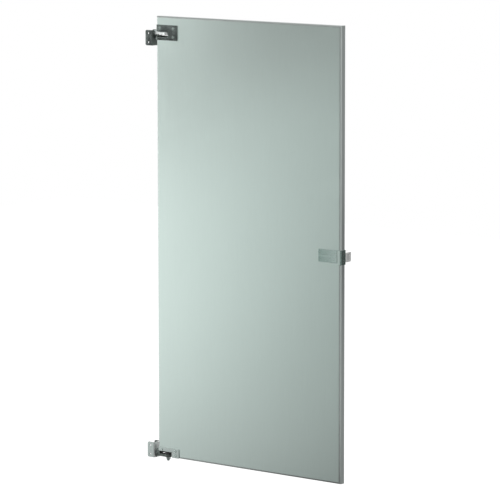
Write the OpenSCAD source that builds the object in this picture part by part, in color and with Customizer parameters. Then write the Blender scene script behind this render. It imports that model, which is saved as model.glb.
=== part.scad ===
// Toilet stall door: a hollow metal leaf on two recessed pivot hinges, with a slide latch.
// X runs from the hinge pilaster's edge towards the latch, Y into the stall, Z up.
// X = 0 is the pilaster's edge, Y = 0 the middle of the leaf and Z = 0 its bottom edge.

/* [Door leaf] */
// Width of the leaf from its hinge edge to its latch edge
leaf_w = 762; // [560:1:914]
// Height of the leaf
leaf_h = 1473; // [1200:1:1830]
// Thickness of the leaf over both face sheets
leaf_t = 25.4; // [25:0.1:30]
// Thickness of each face sheet
sheet_t = 0.8; // [0.6:0.1:1.2]
// How far the edge mouldings stand out past the face sheets
crown_h = 6; // [4:0.5:8]
// Wall of the rolled edge mouldings
moulding_t = 1; // [0.8:0.1:1.4]
// Depth of the moulding legs between the face sheets
moulding_leg = 9; // [6:0.5:12]
// Wall of the steel channels that stiffen the leaf inside
channel_t = 1.5; // [1:0.1:2]
// Depth of the hinge channels from the hinge edge
hinge_channel_w = 110; // [100:1:160]
// Reach of the hinge channels past their castings, up or down
hinge_channel_reach = 30; // [15:1:60]

/* [Door castings] */
// Width of each hinge casting on the leaf
casting_w = 91; // [84:1:115]
// Height of the upper hinge casting
upper_casting_h = 51; // [50:1:70]
// Distance from the leaf's top edge down to the upper casting
upper_casting_drop = 28; // [24:1:80]
// Height of the lower hinge casting
lower_casting_h = 31; // [30:1:40]
// Thickness of the casting flanges on the faces of the leaf
casting_flange_t = 2; // [1.5:0.1:3]
// Lap of the casting flanges past the cut-out in the leaf
casting_lap = 3; // [2:0.5:4]
// Depth of the lower arm notch from the hinge edge
arm_notch_depth = 60; // [58:1:64]
// Room past the arm in the upper slot when the door is open
slot_room = 3; // [1:0.5:8]
// Thickness of the wall between each arm's room and the hinge edge
room_wall = 3; // [2:0.5:4]
// Radius of the castings' outer corners at the hinge edge
casting_corner_r = 4; // [2:0.5:6]
// Radius of the corners of the casting flanges on the leaf's faces
casting_face_r = 3; // [1:0.5:3]

/* [Pilaster brackets] */
// Thickness of the pilaster that the brackets wrap
pilaster_t = 31.75; // [28:0.25:38]
// Reach of the bracket flanges over the pilaster
bracket_flange_w = 25; // [24:1:45]
// Thickness of the bracket flanges
bracket_flange_t = 3; // [2:0.1:4]
// Thickness of the bracket web on the pilaster's edge
bracket_web_t = 4; // [3:0.1:6]
// Height of each bracket
bracket_h = 51; // [46:1:70]
// Radius of the brackets' outer corners
bracket_corner_r = 3; // [1:0.5:4]
// Radius of the corners of the bracket flanges on the pilaster's faces
bracket_face_r = 5; // [2:0.5:7]
// Distance between the two screw holes in each bracket flange
bracket_screw_pitch = 30; // [20:1:34]
// Radius of the screw holes in the bracket flanges
bracket_hole_r = 2.7; // [2.2:0.1:3.5]
// Gap between the bracket web and the leaf's hinge edge
edge_gap = 12.7; // [10:0.1:16]
// Thickness of each bracket arm
arm_t = 9; // [8:0.5:10]
// Width of each bracket arm
arm_w = 18; // [14:1:22]
// Radius of the hub at the end of each arm
hub_r = 11.5; // [10.5:0.1:12]
// Distance between an arm and the nearer end of its bracket
arm_margin = 5.2; // [2:0.1:8]
// Rise of the arch along the underside of the upper arm
arm_arch = 2; // [1:0.1:3]
// Thickness of the gusset under the arm's root
gusset_t = 5; // [3:0.5:8]
// Height of the gusset along the bracket web
gusset_h = 16; // [8:1:24]

/* [Pivots] */
// Largest angle to which the door opens
open_angle = 110; // [90:1:120]
// Distance from the leaf's hinge edge to the pivot axis
pivot_inset = 33; // [30:1:36]
// Distance from the leaf's top edge down to the upper arm
upper_arm_drop = 52.5; // [50:0.5:54]
// Height of the lower arm's underside above the leaf's bottom edge
lower_arm_z = -2; // [-4:0.1:0]
// Radius of both pivot pins where they turn in their bushings
pin_r = 4.75; // [4.2:0.05:5]
// Reach of the upper pin above its arm
upper_pin_reach = 8.7; // [6:0.1:9.5]
// Radius of the upper pin's head
upper_pin_head_r = 7; // [6:0.1:8]
// Thickness of the upper pin's head
upper_pin_head_t = 2.5; // [1.5:0.1:3]
// Radius of the lower pin's shoulder inside the cams
shoulder_r = 6.35; // [6:0.05:6.8]
// Half the width across the flats of the lower pin's key
key_half = 4.75; // [4:0.05:5.2]
// Length of the lower pin's key inside the lower casting
key_len = 26; // [16:1:40]
// Gap past the key's end inside its socket
key_end_gap = 1; // [0.5:0.1:3]
// Wall of the casting's boss past the end and the long sides of the socket
boss_wall = 4; // [3:0.5:6]
// Radius of the lower pin's thread
thread_r = 4; // [3:0.1:4.1]
// Wall of the nylon bushings
bushing_wall = 1.75; // [1.5:0.05:2]
// Length of the upper bushing's sleeve
upper_bushing_len = 12; // [9:0.5:13]
// Radius of the upper bushing's flange
bushing_flange_r = 9; // [8:0.5:11]
// Thickness of the upper bushing's flange
bushing_flange_t = 1; // [0.8:0.1:1.5]
// Radius of both cams
cam_r = 11; // [10:0.1:11.4]
// Height of each cam's plain base
cam_base = 2.3; // [1.5:0.1:2.6]
// Rise of the cam ramps over half a turn
cam_rise = 6; // [3:0.1:6.5]
// Number of steps along each cam ramp
cam_steps = 24; // [12:1:48]
// Play between the steps of the two cams
cam_play = 0.8; // [0.5:0.1:1.5]
// Depth of the lugs that key the cams
cam_lug_d = 2; // [1:0.1:2.5]
// Width of the lugs that key the cams
cam_lug_w = 3; // [2:0.1:4]
// Radius of the washer under the lower arm
washer_r = 9; // [8:0.1:11]
// Thickness of the washer under the lower arm
washer_t = 1.5; // [1:0.1:2]
// Width of the dome nut across its flats
nut_flats = 13; // [12:0.5:15]
// Height of the dome nut's hexagon
nut_hex_h = 6.5; // [5:0.5:8]
// Radius of the nut's dome
nut_dome_r = 5.5; // [4.8:0.1:6]

/* [Casting screws] */
// Radius of the screws through the castings
casting_screw_r = 2.5; // [2:0.1:2.7]
// Radius of the barrel nuts that take those screws
barrel_r = 3.4; // [3.1:0.1:3.6]
// Radius of the screw and barrel nut heads
casting_head_r = 4.8; // [4:0.1:5]
// Height of the screw and barrel nut heads
casting_head_h = 2; // [1.5:0.1:3]
// Distance of the screws near the hinge edge from that edge
screw_near_x = 15; // [13:0.5:18]
// Distance of the screws beyond the lower arm notch from the notch's end
screw_far_gap = 14; // [8:0.5:16]
// Distance of the upper casting's screws from its top and bottom ends
upper_screw_end = 11; // [10:0.5:12]
// Distance of the lower casting's upper screws from its top end
lower_screw_end = 8.2; // [8:0.1:8.6]

/* [Latch] */
// Height of the latch's centre above the leaf's bottom edge
latch_z = 734; // [600:1:900]
// Length of the latch along the leaf
latch_w = 88; // [84:1:120]
// Height of the latch case
latch_h = 36; // [35:0.5:48]
// Corner radius of the latch case and of the outside plate
latch_corner_r = 5; // [2:0.5:8]
// Reach of the outside plate above the latch case
plate_rise = 5; // [0:0.5:8]
// Thickness of the outside plate
plate_t = 2.5; // [2:0.1:4]
// Depth of the two recessed bands on the outside plate
band_d = 0.8; // [0.3:0.1:1.2]
// Height of each recessed band on the outside plate
band_h = 14; // [6:0.5:15]
// Rib between the two recessed bands
band_rib = 7; // [3:0.5:8]
// Margin round the recessed bands
band_margin = 3; // [2:0.5:5]
// Depth of the latch case behind the leaf
case_d = 22; // [20:0.5:30]
// Thickness of the latch cover
cover_d = 11; // [6:0.5:14]
// Radius of the cover's long and short outer edges
cover_edge_r = 6; // [2:0.5:6]
// Height of the sliding bolt
bolt_h = 18; // [14:0.5:18.5]
// Thickness of the sliding bolt
bolt_t = 12; // [8:0.5:13]
// Length of the sliding bolt
bolt_len = 71; // [60:1:74]
// Bevel on the corners of the bolt's nose
bolt_bevel = 2; // [1:0.1:4]
// Travel of the sliding bolt
bolt_travel = 18; // [12:0.5:20]
// Distance from the leaf's latch edge back to the bolt's nose when drawn back
bolt_setback = 1; // [0:0.1:3]
// Distance from the leaf's latch edge back to the knob when drawn back
knob_setback = 50; // [46:1:54]
// Radius of the knob's stem
stem_r = 4; // [3.5:0.1:5]
// Depth of the stem's seat in the bolt
stem_seat = 2; // [1:0.1:4]
// Width of the knob's grip along the bolt
knob_w = 18; // [14:1:24]
// Height of the knob's grip
knob_h = 28; // [20:1:34]
// Depth of the knob's grip
knob_d = 14; // [10:1:20]
// Corner radius of the knob's grip
knob_corner_r = 5; // [2:0.5:6]
// Radius of the latch screws
latch_screw_r = 1.75; // [1.5:0.05:1.8]
// Radius of the latch screw heads
latch_head_r = 3.1; // [2.8:0.1:3.2]
// Height of the latch screw heads
latch_head_h = 2; // [1.5:0.1:2.4]
// Radius of the threaded posts on the outside plate
post_r = 3.2; // [2.8:0.1:3.6]
// Distance of the latch screws from the latch's middle height
latch_screw_z = 13.5; // [13:0.1:13.6]
// Distance of the latch screws from the ends of the outside plate
latch_screw_x = 11; // [10:0.5:13]
// Distance of the cover screws from the ends of the cover
cover_screw_x = 6; // [5.5:0.1:6.5]
// Length of the cover screws inside the case
cover_screw_len = 8; // [5:0.5:12]
// Length of the bowed spring behind the bolt
spring_len = 38; // [30:1:42]
// Width of the bowed spring
spring_w = 10; // [6:0.5:12]
// Thickness of the bowed spring
spring_t = 0.6; // [0.4:0.1:0.8]
// Bow of the spring
spring_bow = 2.2; // [1:0.1:3]
// Gap past each end of the spring in its pocket
spring_end_gap = 1; // [0.5:0.1:2]
// Wall of the case between the spring's pocket and the guard
spring_end_wall = 2; // [1:0.1:4]
// Gap behind the bolt when it is drawn back
bolt_end_gap = 3; // [1:0.5:5]
// Depth of the screw heads below the faces of the cover and the knob
head_sink = 1; // [0.5:0.1:1.5]

/* [Edge guard] */
// Height of the guard on the latch edge
guard_h = 47; // [42:1:60]
// Lap of the guard over the faces of the leaf
guard_lap = 7; // [4:0.5:9]
// Wall of the guard
guard_t = 1.5; // [1:0.1:2]
// Radius of the guard's outer corners
guard_corner_r = 4; // [2:0.5:6]
// Radius of the guard's screws
guard_screw_r = 2.1; // [1.7:0.1:2.5]
// Radius of the guard's countersunk heads
guard_head_r = 4; // [3.4:0.1:4.6]
// Distance of the guard's screws from its middle
guard_screw_z = 12; // [9:0.5:15]
// Distance between the latch channel's ends and the latch's middle
latch_channel_half = 36; // [32:1:60]
// Depth of the latch channel from the latch edge
latch_channel_w = 104; // [100:1:140]

/* [Fits] */
// Clearance at seams and between pieces that are fixed together
seam = 0.1; // [0.05:0.01:0.2]
// Clearance round the castings in the cut-outs of the leaf
casting_fit = 0.3; // [0.2:0.05:0.5]
// Clearance between the core and what lies round it
core_fit = 0.3; // [0.2:0.05:0.5]
// Radial clearance of a piece that turns or slides on another
running_fit = 0.05; // [0.02:0.01:0.1]
// Radial clearance of a piece that is pressed or screwed into another
press_fit = 0.02; // [0.01:0.01:0.05]
// Clearance between flat faces that move past each other
slide_fit = 0.15; // [0.1:0.01:0.3]
// Clearance between the bolt and the pieces that it passes with play
free_fit = 0.3; // [0.2:0.05:0.5]
// Clearance between the pilaster and each bracket flange
pilaster_fit = 0.25; // [0.1:0.05:0.5]
// Clearance between the turning leaf and the bracket gussets
heel_clear = 1.5; // [1:0.1:3]

/* [Hidden] */
$fn = 64;
wide_arc_fn = 256;
leaf_x0 = bracket_web_t + edge_gap;
leaf_x1 = leaf_x0 + leaf_w;
half_t = leaf_t / 2;
skin_y = half_t - sheet_t;
pivot_x = leaf_x0 + pivot_inset;

// The mouldings fill a band this deep along every edge of the leaf
edge_band = crown_h + moulding_leg;
leg_out = skin_y - seam;
leg_in = leg_out - moulding_t;
shoulder_y = half_t - crown_h;

// The stiffening channels inside the leaf
hinge_channel_x1 = leaf_x0 + hinge_channel_w;
latch_channel_x1 = leaf_x1 - edge_band - core_fit;

// Cut-outs in the leaf for the hinge castings
cut_x = leaf_x0 + casting_w - casting_lap;
upper_cast_z1 = leaf_h - upper_casting_drop;
upper_cast_z0 = upper_cast_z1 - upper_casting_h;
lower_cast_z1 = lower_casting_h;

// Heights at the upper pivot, from the arm outwards
upper_arm_z1 = leaf_h - upper_arm_drop;
upper_arm_z0 = upper_arm_z1 - arm_t;
upper_slot_z1 = upper_arm_z1 + free_fit + bushing_flange_t;
upper_slot_z0 = upper_arm_z0 - upper_pin_reach - free_fit;

// The open arm's reach past the pivot where it leaves the leaf, and the leaf's rise there
open_reach = (arm_w / 2 - (half_t + casting_flange_t) * cos(open_angle)) / sin(open_angle);
open_rise = cam_rise * open_angle / 180;
upper_slot_x1 = pivot_x + max(hub_r, open_reach) + slot_room;
upper_lip_z1 = upper_arm_z0 - open_rise - free_fit;

// The angle at which the arm has left the hinge edge, and the height of the wall under it
wall_corner = [pivot_inset - room_wall, half_t];
leave_angle = atan(wall_corner[1] / wall_corner[0]) + asin(arm_w / 2 / norm(wall_corner));
upper_sill_z1 = upper_arm_z0 - cam_rise * leave_angle / 180 - free_fit;

// Heights at the lower pivot, from the arm upwards
lower_arm_z1 = lower_arm_z + arm_t;
cam_stack = 2 * cam_base + cam_rise + free_fit;
notch_z1 = lower_arm_z1 + cam_stack;
lower_lip_z0 = lower_arm_z1 + free_fit;
key_z0 = notch_z1 - free_fit;
key_z1 = notch_z1 + key_len;
socket_z1 = key_z1 + key_end_gap;
boss_z1 = socket_z1 + boss_wall;
boss_half_y = skin_y - channel_t - core_fit;
boss_half_x = shoulder_r + boss_wall;
lower_channel_z1 = max(lower_cast_z1 + hinge_channel_reach, boss_z1);
washer_z0 = lower_arm_z - free_fit - washer_t;
lug_x = (shoulder_r + cam_r) / 2;

// The bracket gussets stay outside the circle that the leaf's heel sweeps
heel_r = norm([pivot_inset, half_t + casting_flange_t]);
gusset_len = pivot_inset + edge_gap - heel_r - heel_clear;
channel_half = pilaster_t / 2 + pilaster_fit;
bracket_half = channel_half + bracket_flange_t;

// The latch, from the rear face of the leaf into the stall
case_x0 = leaf_x1 - latch_w;
guard_x0 = leaf_x1 - crown_h - guard_lap;
plate_x1 = guard_x0 - free_fit;
plate_z = latch_z + plate_rise / 2;
case_y0 = half_t;
cover_y0 = half_t + case_d;
cover_y1 = cover_y0 + cover_d;
bolt_y1 = cover_y0 - slide_fit;
bolt_y0 = bolt_y1 - bolt_t;
bolt_x1 = leaf_x1 - bolt_setback;
bolt_x0 = bolt_x1 - bolt_len;
knob_x = leaf_x1 - knob_setback;
grip_y0 = cover_y1 + free_fit;
grip_y1 = grip_y0 + knob_d;
spring_x = guard_x0 - free_fit - spring_end_wall - spring_end_gap - spring_len / 2;
spring_y1 = bolt_y0 - free_fit;
spring_y0 = spring_y1 - spring_bow - spring_t - seam;
latch_screw_xs = [case_x0 + latch_screw_x, plate_x1 - latch_screw_x];
cover_screws = [
    [case_x0 + cover_screw_x, 0],
    [leaf_x1 - cover_screw_x, latch_screw_z],
    [leaf_x1 - cover_screw_x, -latch_screw_z]
];
post_y1 = half_t - free_fit;

LEAF = [0.73, 0.78, 0.76];
EDGE = [0.6, 0.64, 0.63];
CHROME = [0.62, 0.66, 0.66];
ZINC = [0.6, 0.6, 0.6];
STEEL = [0.7, 0.7, 0.72];
NYLON = [0.16, 0.17, 0.165];
PAPER = [0.72, 0.58, 0.4];

// A box from its low corner to its high corner
module span(low, high) {
    translate(low) cube(high - low);
}

// A cylinder along Y at the point [x, z], from y0 to y1
module rod_y(x, z, y0, y1, r) {
    translate([x, y0, z]) rotate([-90, 0, 0]) cylinder(h = y1 - y0, r = r);
}

// A prism through the whole leaf whose outline is drawn in X and Z
module face_prism(points) {
    rotate([90, 0, 0]) linear_extrude(height = 4 * leaf_t, center = true) polygon(points);
}

// A rectangle with round corners, from its low to its high corner
module round_rect(low, high, r) {
    translate([low[0] + r, low[1]]) square([high[0] - low[0] - 2 * r, high[1] - low[1]]);
    translate([low[0], low[1] + r]) square([high[0] - low[0], high[1] - low[1] - 2 * r]);
    for (x = [low[0] + r, high[0] - r], y = [low[1] + r, high[1] - r])
        translate([x, y]) circle(r = r);
}

// A prism through the whole leaf with two round corners, at its high X or at its low X
module face_outline(low, high, r, round_low = false) {
    middle = (low[0] + high[0]) / 2;
    square_x0 = round_low ? middle : low[0];
    square_x1 = round_low ? high[0] : middle;
    rotate([90, 0, 0]) linear_extrude(height = 4 * leaf_t, center = true) {
        round_rect(low, high, r);
        translate([square_x0, low[1]]) square([square_x1 - square_x0, high[1] - low[1]]);
    }
}

// The filled outline of the moulding's crown at a given radius of its shoulders
module crown_fill(r) {
    intersection() {
        union() {
            for (side = [-1, 1]) translate([side * shoulder_y, crown_h]) circle(r = r);
            translate([-shoulder_y, crown_h - r]) square([2 * shoulder_y, r]);
        }
        translate([-leaf_t, -crown_h]) square([2 * leaf_t, 2 * crown_h]);
    }
}

// The rolled moulding seen end on: a crown with two legs, drawn across and inwards
module moulding_profile() {
    difference() {
        crown_fill(crown_h);
        crown_fill(crown_h - moulding_t);
    }
    for (side = [0, 1]) mirror([side, 0]) {
        translate([leg_in, crown_h - moulding_t])
            square([half_t - moulding_t / 2 - leg_in, moulding_t]);
        translate([leg_in, crown_h - moulding_t])
            square([moulding_t, moulding_leg + moulding_t]);
    }
}

// A length of moulding along X, with its crown facing down
module moulding_along_x(x0, x1) {
    translate([x0, 0, 0]) rotate([90, 0, 90]) linear_extrude(height = x1 - x0)
        moulding_profile();
}

// A length of moulding along Z, with its crown facing the latch side
module moulding_along_z(z0, z1) {
    translate([0, 0, z0]) rotate([0, 0, 90]) linear_extrude(height = z1 - z0)
        moulding_profile();
}

module top_edge_moulding() {
    color(EDGE) intersection() {
        translate([0, 0, leaf_h]) mirror([0, 0, 1]) moulding_along_x(leaf_x0, leaf_x1);
        face_prism([
            [leaf_x0 + seam, leaf_h],
            [leaf_x1 - seam, leaf_h],
            [leaf_x1 - seam - edge_band, leaf_h - edge_band],
            [leaf_x0 + seam + edge_band, leaf_h - edge_band]
        ]);
    }
}

module bottom_edge_moulding() {
    color(EDGE) intersection() {
        moulding_along_x(leaf_x0 + casting_w + seam, leaf_x1);
        face_prism([
            [leaf_x0, 0],
            [leaf_x1 - seam, 0],
            [leaf_x1 - seam - edge_band, edge_band],
            [leaf_x0, edge_band]
        ]);
    }
}

module hinge_edge_moulding() {
    color(EDGE) translate([leaf_x0, 0, 0]) mirror([1, 0, 0])
        moulding_along_z(lower_cast_z1 + seam, upper_cast_z0 - seam);
}

module hinge_edge_moulding_top() {
    color(EDGE) intersection() {
        translate([leaf_x0, 0, 0]) mirror([1, 0, 0])
            moulding_along_z(upper_cast_z1 + seam, leaf_h);
        face_prism([
            [leaf_x0, leaf_h - seam],
            [leaf_x0, 0],
            [leaf_x0 + edge_band, 0],
            [leaf_x0 + edge_band, leaf_h - seam - edge_band]
        ]);
    }
}

module latch_edge_moulding_upper() {
    color(EDGE) intersection() {
        translate([leaf_x1, 0, 0]) moulding_along_z(latch_z + guard_h / 2 + seam, leaf_h);
        face_prism([
            [leaf_x1, 0],
            [leaf_x1, leaf_h - seam],
            [leaf_x1 - edge_band, leaf_h - seam - edge_band],
            [leaf_x1 - edge_band, 0]
        ]);
    }
}

module latch_edge_moulding_lower() {
    color(EDGE) intersection() {
        translate([leaf_x1, 0, 0]) moulding_along_z(0, latch_z - guard_h / 2 - seam);
        face_prism([
            [leaf_x1, seam],
            [leaf_x1, leaf_h],
            [leaf_x1 - edge_band, leaf_h],
            [leaf_x1 - edge_band, seam + edge_band]
        ]);
    }
}

// The cut-outs that the hinge castings fill
module casting_cuts() {
    span([0, -leaf_t, upper_cast_z0 + casting_lap],
         [cut_x, leaf_t, upper_cast_z1 - casting_lap]);
    span([0, -leaf_t, -leaf_t], [cut_x, leaf_t, lower_cast_z1 - casting_lap]);
}

// The holes for the four posts of the outside plate, from y0 to y1
module post_holes(y0, y1) {
    for (x = latch_screw_xs, side = [-1, 1])
        rod_y(x, latch_z + side * latch_screw_z, y0, y1, post_r + free_fit);
}

module face_sheet(y0) {
    color(LEAF) difference() {
        span([leaf_x0 + crown_h + seam, y0, crown_h + seam],
             [leaf_x1 - crown_h - seam, y0 + sheet_t, leaf_h - crown_h - seam]);
        casting_cuts();
        post_holes(-leaf_t, leaf_t);
    }
}

module front_face_sheet() { face_sheet(-half_t); }

module rear_face_sheet() { face_sheet(skin_y); }

// The room that each stiffening channel takes in the core
module channel_rooms(margin) {
    inner = hinge_channel_x1 + margin;
    span([0, -leaf_t, upper_cast_z0 - hinge_channel_reach - margin], [inner, leaf_t, leaf_h]);
    span([0, -leaf_t, 0], [inner, leaf_t, lower_channel_z1 + margin]);
    span([leaf_x1 - latch_channel_w - margin, -leaf_t, latch_z - latch_channel_half - margin],
         [leaf_x1, leaf_t, latch_z + latch_channel_half + margin]);
}

module honeycomb_core() {
    inset = edge_band + core_fit;
    color(PAPER) difference() {
        span([leaf_x0 + inset, -skin_y, inset], [leaf_x1 - inset, skin_y, leaf_h - inset]);
        channel_rooms(core_fit);
    }
}

// A channel with a flange behind each face sheet and its web at x = web_x
module channel(low_x, high_x, z0, z1, web_x) {
    for (y = [-skin_y, skin_y - channel_t])
        span([low_x, y, z0], [high_x, y + channel_t, z1]);
    span([web_x, -skin_y, z0], [web_x + channel_t, skin_y, z1]);
}

// A channel beside a hinge casting, cut away where the casting fills the leaf
module hinge_channel(z0, z1) {
    color(STEEL) difference() {
        channel(leaf_x0 + edge_band + core_fit, hinge_channel_x1, z0, z1,
                hinge_channel_x1 - channel_t);
        casting_cuts();
    }
}

module upper_hinge_channel() {
    hinge_channel(upper_cast_z0 - hinge_channel_reach, leaf_h - edge_band - core_fit);
}

module lower_hinge_channel() {
    hinge_channel(edge_band + core_fit, lower_channel_z1);
}

module latch_channel() {
    color(STEEL) difference() {
        channel(leaf_x1 - latch_channel_w, latch_channel_x1, latch_z - latch_channel_half,
                latch_z + latch_channel_half, latch_channel_x1 - channel_t);
        post_holes(-leaf_t, leaf_t);
        guard_screw_bores(guard_screw_r + press_fit);
    }
}

// Centres of the screws through each casting, in X and Z
screw_x_far = leaf_x0 + arm_notch_depth + screw_far_gap;
UPPER_SCREWS = [
    [leaf_x0 + screw_near_x, upper_cast_z1 - upper_screw_end],
    [screw_x_far, upper_cast_z1 - upper_screw_end],
    [screw_x_far, upper_cast_z0 + upper_screw_end]
];
LOWER_SCREWS = [
    [leaf_x0 + screw_near_x, lower_cast_z1 - lower_screw_end],
    [screw_x_far, lower_cast_z1 - lower_screw_end],
    [screw_x_far, lower_screw_end]
];

// A casting blank: a block that fills its cut-out, with a flange on each face of the leaf
module casting_blank(z0, z1, block_z0, block_z1) {
    intersection() {
        union() {
            span([leaf_x0, -half_t - casting_flange_t, z0],
                 [leaf_x0 + casting_w, -half_t, z1]);
            span([leaf_x0, half_t, z0],
                 [leaf_x0 + casting_w, half_t + casting_flange_t, z1]);
            span([leaf_x0, -half_t, block_z0], [cut_x - casting_fit, half_t, block_z1]);
        }
        translate([0, 0, z0]) linear_extrude(height = z1 - z0) union() {
            round_rect([leaf_x0, -half_t - casting_flange_t],
                       [leaf_x0 + casting_w / 2, half_t + casting_flange_t], casting_corner_r);
            translate([leaf_x0 + casting_corner_r, -half_t - casting_flange_t])
                square([casting_w - casting_corner_r, leaf_t + 2 * casting_flange_t]);
        }
        face_outline([leaf_x0, z0], [leaf_x0 + casting_w, z1], casting_face_r);
    }
}

// The room that a casting gives an arm, open to the front and walled at the hinge edge
module arm_room(x1, z0, z1) {
    span([leaf_x0 + room_wall, -leaf_t, z0], [x1, half_t, z1]);
    span([0, -leaf_t, z0], [x1, -arm_w / 2, z1]);
}

module casting_screw_holes(points) {
    for (p = points) rod_y(p[0], p[1], -leaf_t, leaf_t, barrel_r + seam);
}

// The rear flange keeps a lip under the upper slot and a skirt over the lower notch, and the
// wall at the hinge edge stops just short of the arm
module upper_door_casting() {
    color(CHROME) difference() {
        casting_blank(upper_cast_z0, upper_cast_z1, upper_cast_z0 + casting_lap + casting_fit,
                      upper_cast_z1 - casting_lap - casting_fit);
        arm_room(upper_slot_x1, upper_slot_z0, upper_slot_z1);
        span([0, -leaf_t, upper_sill_z1], [upper_slot_x1, half_t, upper_slot_z1]);
        span([0, half_t, upper_lip_z1], [upper_slot_x1, leaf_t, upper_slot_z1]);
        translate([pivot_x, 0, upper_slot_z1])
            cylinder(h = upper_bushing_len + seam, r = pin_r + running_fit + bushing_wall + press_fit);
        casting_screw_holes(UPPER_SCREWS);
    }
}

module upper_pivot_bushing() {
    color(NYLON) translate([pivot_x, 0, upper_slot_z1]) difference() {
        union() {
            cylinder(h = upper_bushing_len, r = pin_r + running_fit + bushing_wall);
            translate([0, 0, -bushing_flange_t])
                cylinder(h = bushing_flange_t, r = bushing_flange_r);
        }
        translate([0, 0, -leaf_t]) cylinder(h = 2 * leaf_t, r = pin_r + running_fit);
    }
}

// Screws from the front face into barrel nuts from the rear face
module casting_screw_set(points) {
    front = half_t + casting_flange_t;
    color(CHROME) for (p = points) {
        rod_y(p[0], p[1], -front - casting_head_h, -front, casting_head_r);
        rod_y(p[0], p[1], -front, half_t, casting_screw_r);
    }
}

module barrel_nut_set(points) {
    rear = half_t + casting_flange_t;
    color(CHROME) for (p = points) difference() {
        union() {
            rod_y(p[0], p[1], rear, rear + casting_head_h, casting_head_r);
            rod_y(p[0], p[1], -half_t, rear, barrel_r);
        }
        rod_y(p[0], p[1], -leaf_t, half_t + seam, casting_screw_r + press_fit);
    }
}

module upper_casting_screws() { casting_screw_set(UPPER_SCREWS); }

module upper_barrel_nuts() { barrel_nut_set(UPPER_SCREWS); }

module lower_casting_screws() { casting_screw_set(LOWER_SCREWS); }

module lower_barrel_nuts() { barrel_nut_set(LOWER_SCREWS); }

// The U section that wraps the pilaster's edge
module bracket_section() {
    difference() {
        union() {
            round_rect([-bracket_flange_w, -bracket_half], [bracket_web_t, bracket_half],
                       bracket_corner_r);
            translate([-bracket_flange_w, -bracket_half])
                square([bracket_flange_w / 2, 2 * bracket_half]);
        }
        translate([-2 * bracket_flange_w, -channel_half])
            square([2 * bracket_flange_w, 2 * channel_half]);
    }
}

// The arm with its hub; z = 0 is its upper face
module bracket_arm() {
    translate([0, 0, -arm_t]) linear_extrude(height = arm_t) {
        translate([bracket_web_t / 2, -arm_w / 2])
            square([pivot_x - bracket_web_t / 2, arm_w]);
        translate([pivot_x, 0]) circle(r = hub_r);
    }
}

// The cutter that arches the arm's underside between its root and its hub
module arm_arch_cutter() {
    arch_x0 = bracket_web_t + gusset_len;
    arch_half = (pivot_x - hub_r - arch_x0) / 2;
    arch_r = (arch_half * arch_half + arm_arch * arm_arch) / (2 * arm_arch);
    intersection() {
        translate([arch_x0 + arch_half, 0, -arm_t + arm_arch - arch_r]) rotate([90, 0, 0])
            cylinder(h = 2 * leaf_t, r = arch_r, center = true, $fn = wide_arc_fn);
        span([arch_x0, -leaf_t, -arm_t - seam], [pivot_x - hub_r, leaf_t, 0]);
    }
}

// A rib against the bracket web, drawn in X and Z and centred across the arm
module bracket_rib(width, points) {
    rotate([90, 0, 0]) linear_extrude(height = width, center = true) polygon(points);
}

// A bracket with its arm near the top; z = 0 is the arm's upper face
module bracket_blank() {
    bracket_z0 = arm_margin - bracket_h;
    root_x = bracket_web_t - seam;
    tip_x = bracket_web_t + gusset_len;
    difference() {
        union() {
            intersection() {
                translate([0, 0, bracket_z0]) linear_extrude(height = bracket_h) bracket_section();
                face_outline([-bracket_flange_w, bracket_z0], [bracket_web_t, arm_margin],
                             bracket_face_r, true);
            }
            bracket_arm();
            bracket_rib(arm_w, [[root_x, arm_margin], [tip_x, 0], [tip_x, -seam], [root_x, -seam]]);
            bracket_rib(gusset_t, [[root_x, seam - arm_t], [tip_x, seam - arm_t], [tip_x, -arm_t],
                                   [root_x, -arm_t - gusset_h]]);
        }
        for (side = [-1, 1])
            rod_y(-bracket_flange_w / 2,
                  bracket_z0 + bracket_h / 2 + side * bracket_screw_pitch / 2,
                  -2 * bracket_half, 2 * bracket_half, bracket_hole_r);
    }
}

module upper_pilaster_bracket() {
    color(CHROME) translate([0, 0, upper_arm_z1]) difference() {
        bracket_blank();
        arm_arch_cutter();
        translate([pivot_x, 0, -2 * arm_t]) cylinder(h = 3 * arm_t, r = pin_r + press_fit);
        translate([pivot_x, 0, -2 * arm_t])
            cylinder(h = arm_t + upper_pin_head_t + seam, r = upper_pin_head_r + seam);
    }
}

module upper_pivot_pin() {
    color(STEEL) translate([pivot_x, 0, upper_arm_z0]) {
        cylinder(h = upper_pin_head_t, r = upper_pin_head_r);
        cylinder(h = arm_t + upper_pin_reach, r = pin_r);
    }
}

// Two lugs on opposite sides of a cam, which key it to its seat
module cam_lugs(margin, z0, z1) {
    for (side = [-1, 1]) translate([pivot_x + side * lug_x, 0, 0])
        span([-cam_lug_w / 2 - margin, -cam_lug_w - margin, z0],
             [cam_lug_w / 2 + margin, cam_lug_w + margin, z1]);
}

// The height of a cam ramp at an angle, with two equal ramps in a full turn
function ramp(angle) = cam_rise * angle / 180;

// Half a turn of a ramp as a solid from z = base up to the ramp, starting at an angle
module ramp_half(start, base) {
    inner = shoulder_r / 2;
    outer = 2 * cam_r;
    step = 180 / cam_steps;
    rim = [for (i = [0:cam_steps], r = [inner, outer], top = [0, 1])
        [r * cos(i * step), r * sin(i * step), top == 1 ? ramp(i * step) : base]];
    quads = [for (i = [0:cam_steps - 1]) let (a = 4 * i, b = 4 * i + 4) each [
        [a + 1, b + 3, a + 3], [a + 1, b + 1, b + 3],
        [a, a + 2, b + 2], [a, b + 2, b],
        [a + 2, b + 3, b + 2], [a + 2, a + 3, b + 3],
        [a, b + 1, a + 1], [a, b, b + 1]
    ]];
    last = 4 * cam_steps;
    ends = [[0, 3, 2], [0, 1, 3], [last, last + 3, last + 1], [last, last + 2, last + 3]];
    rotate([0, 0, start]) polyhedron(points = rim, faces = concat(quads, ends), convexity = 4);
}

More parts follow.
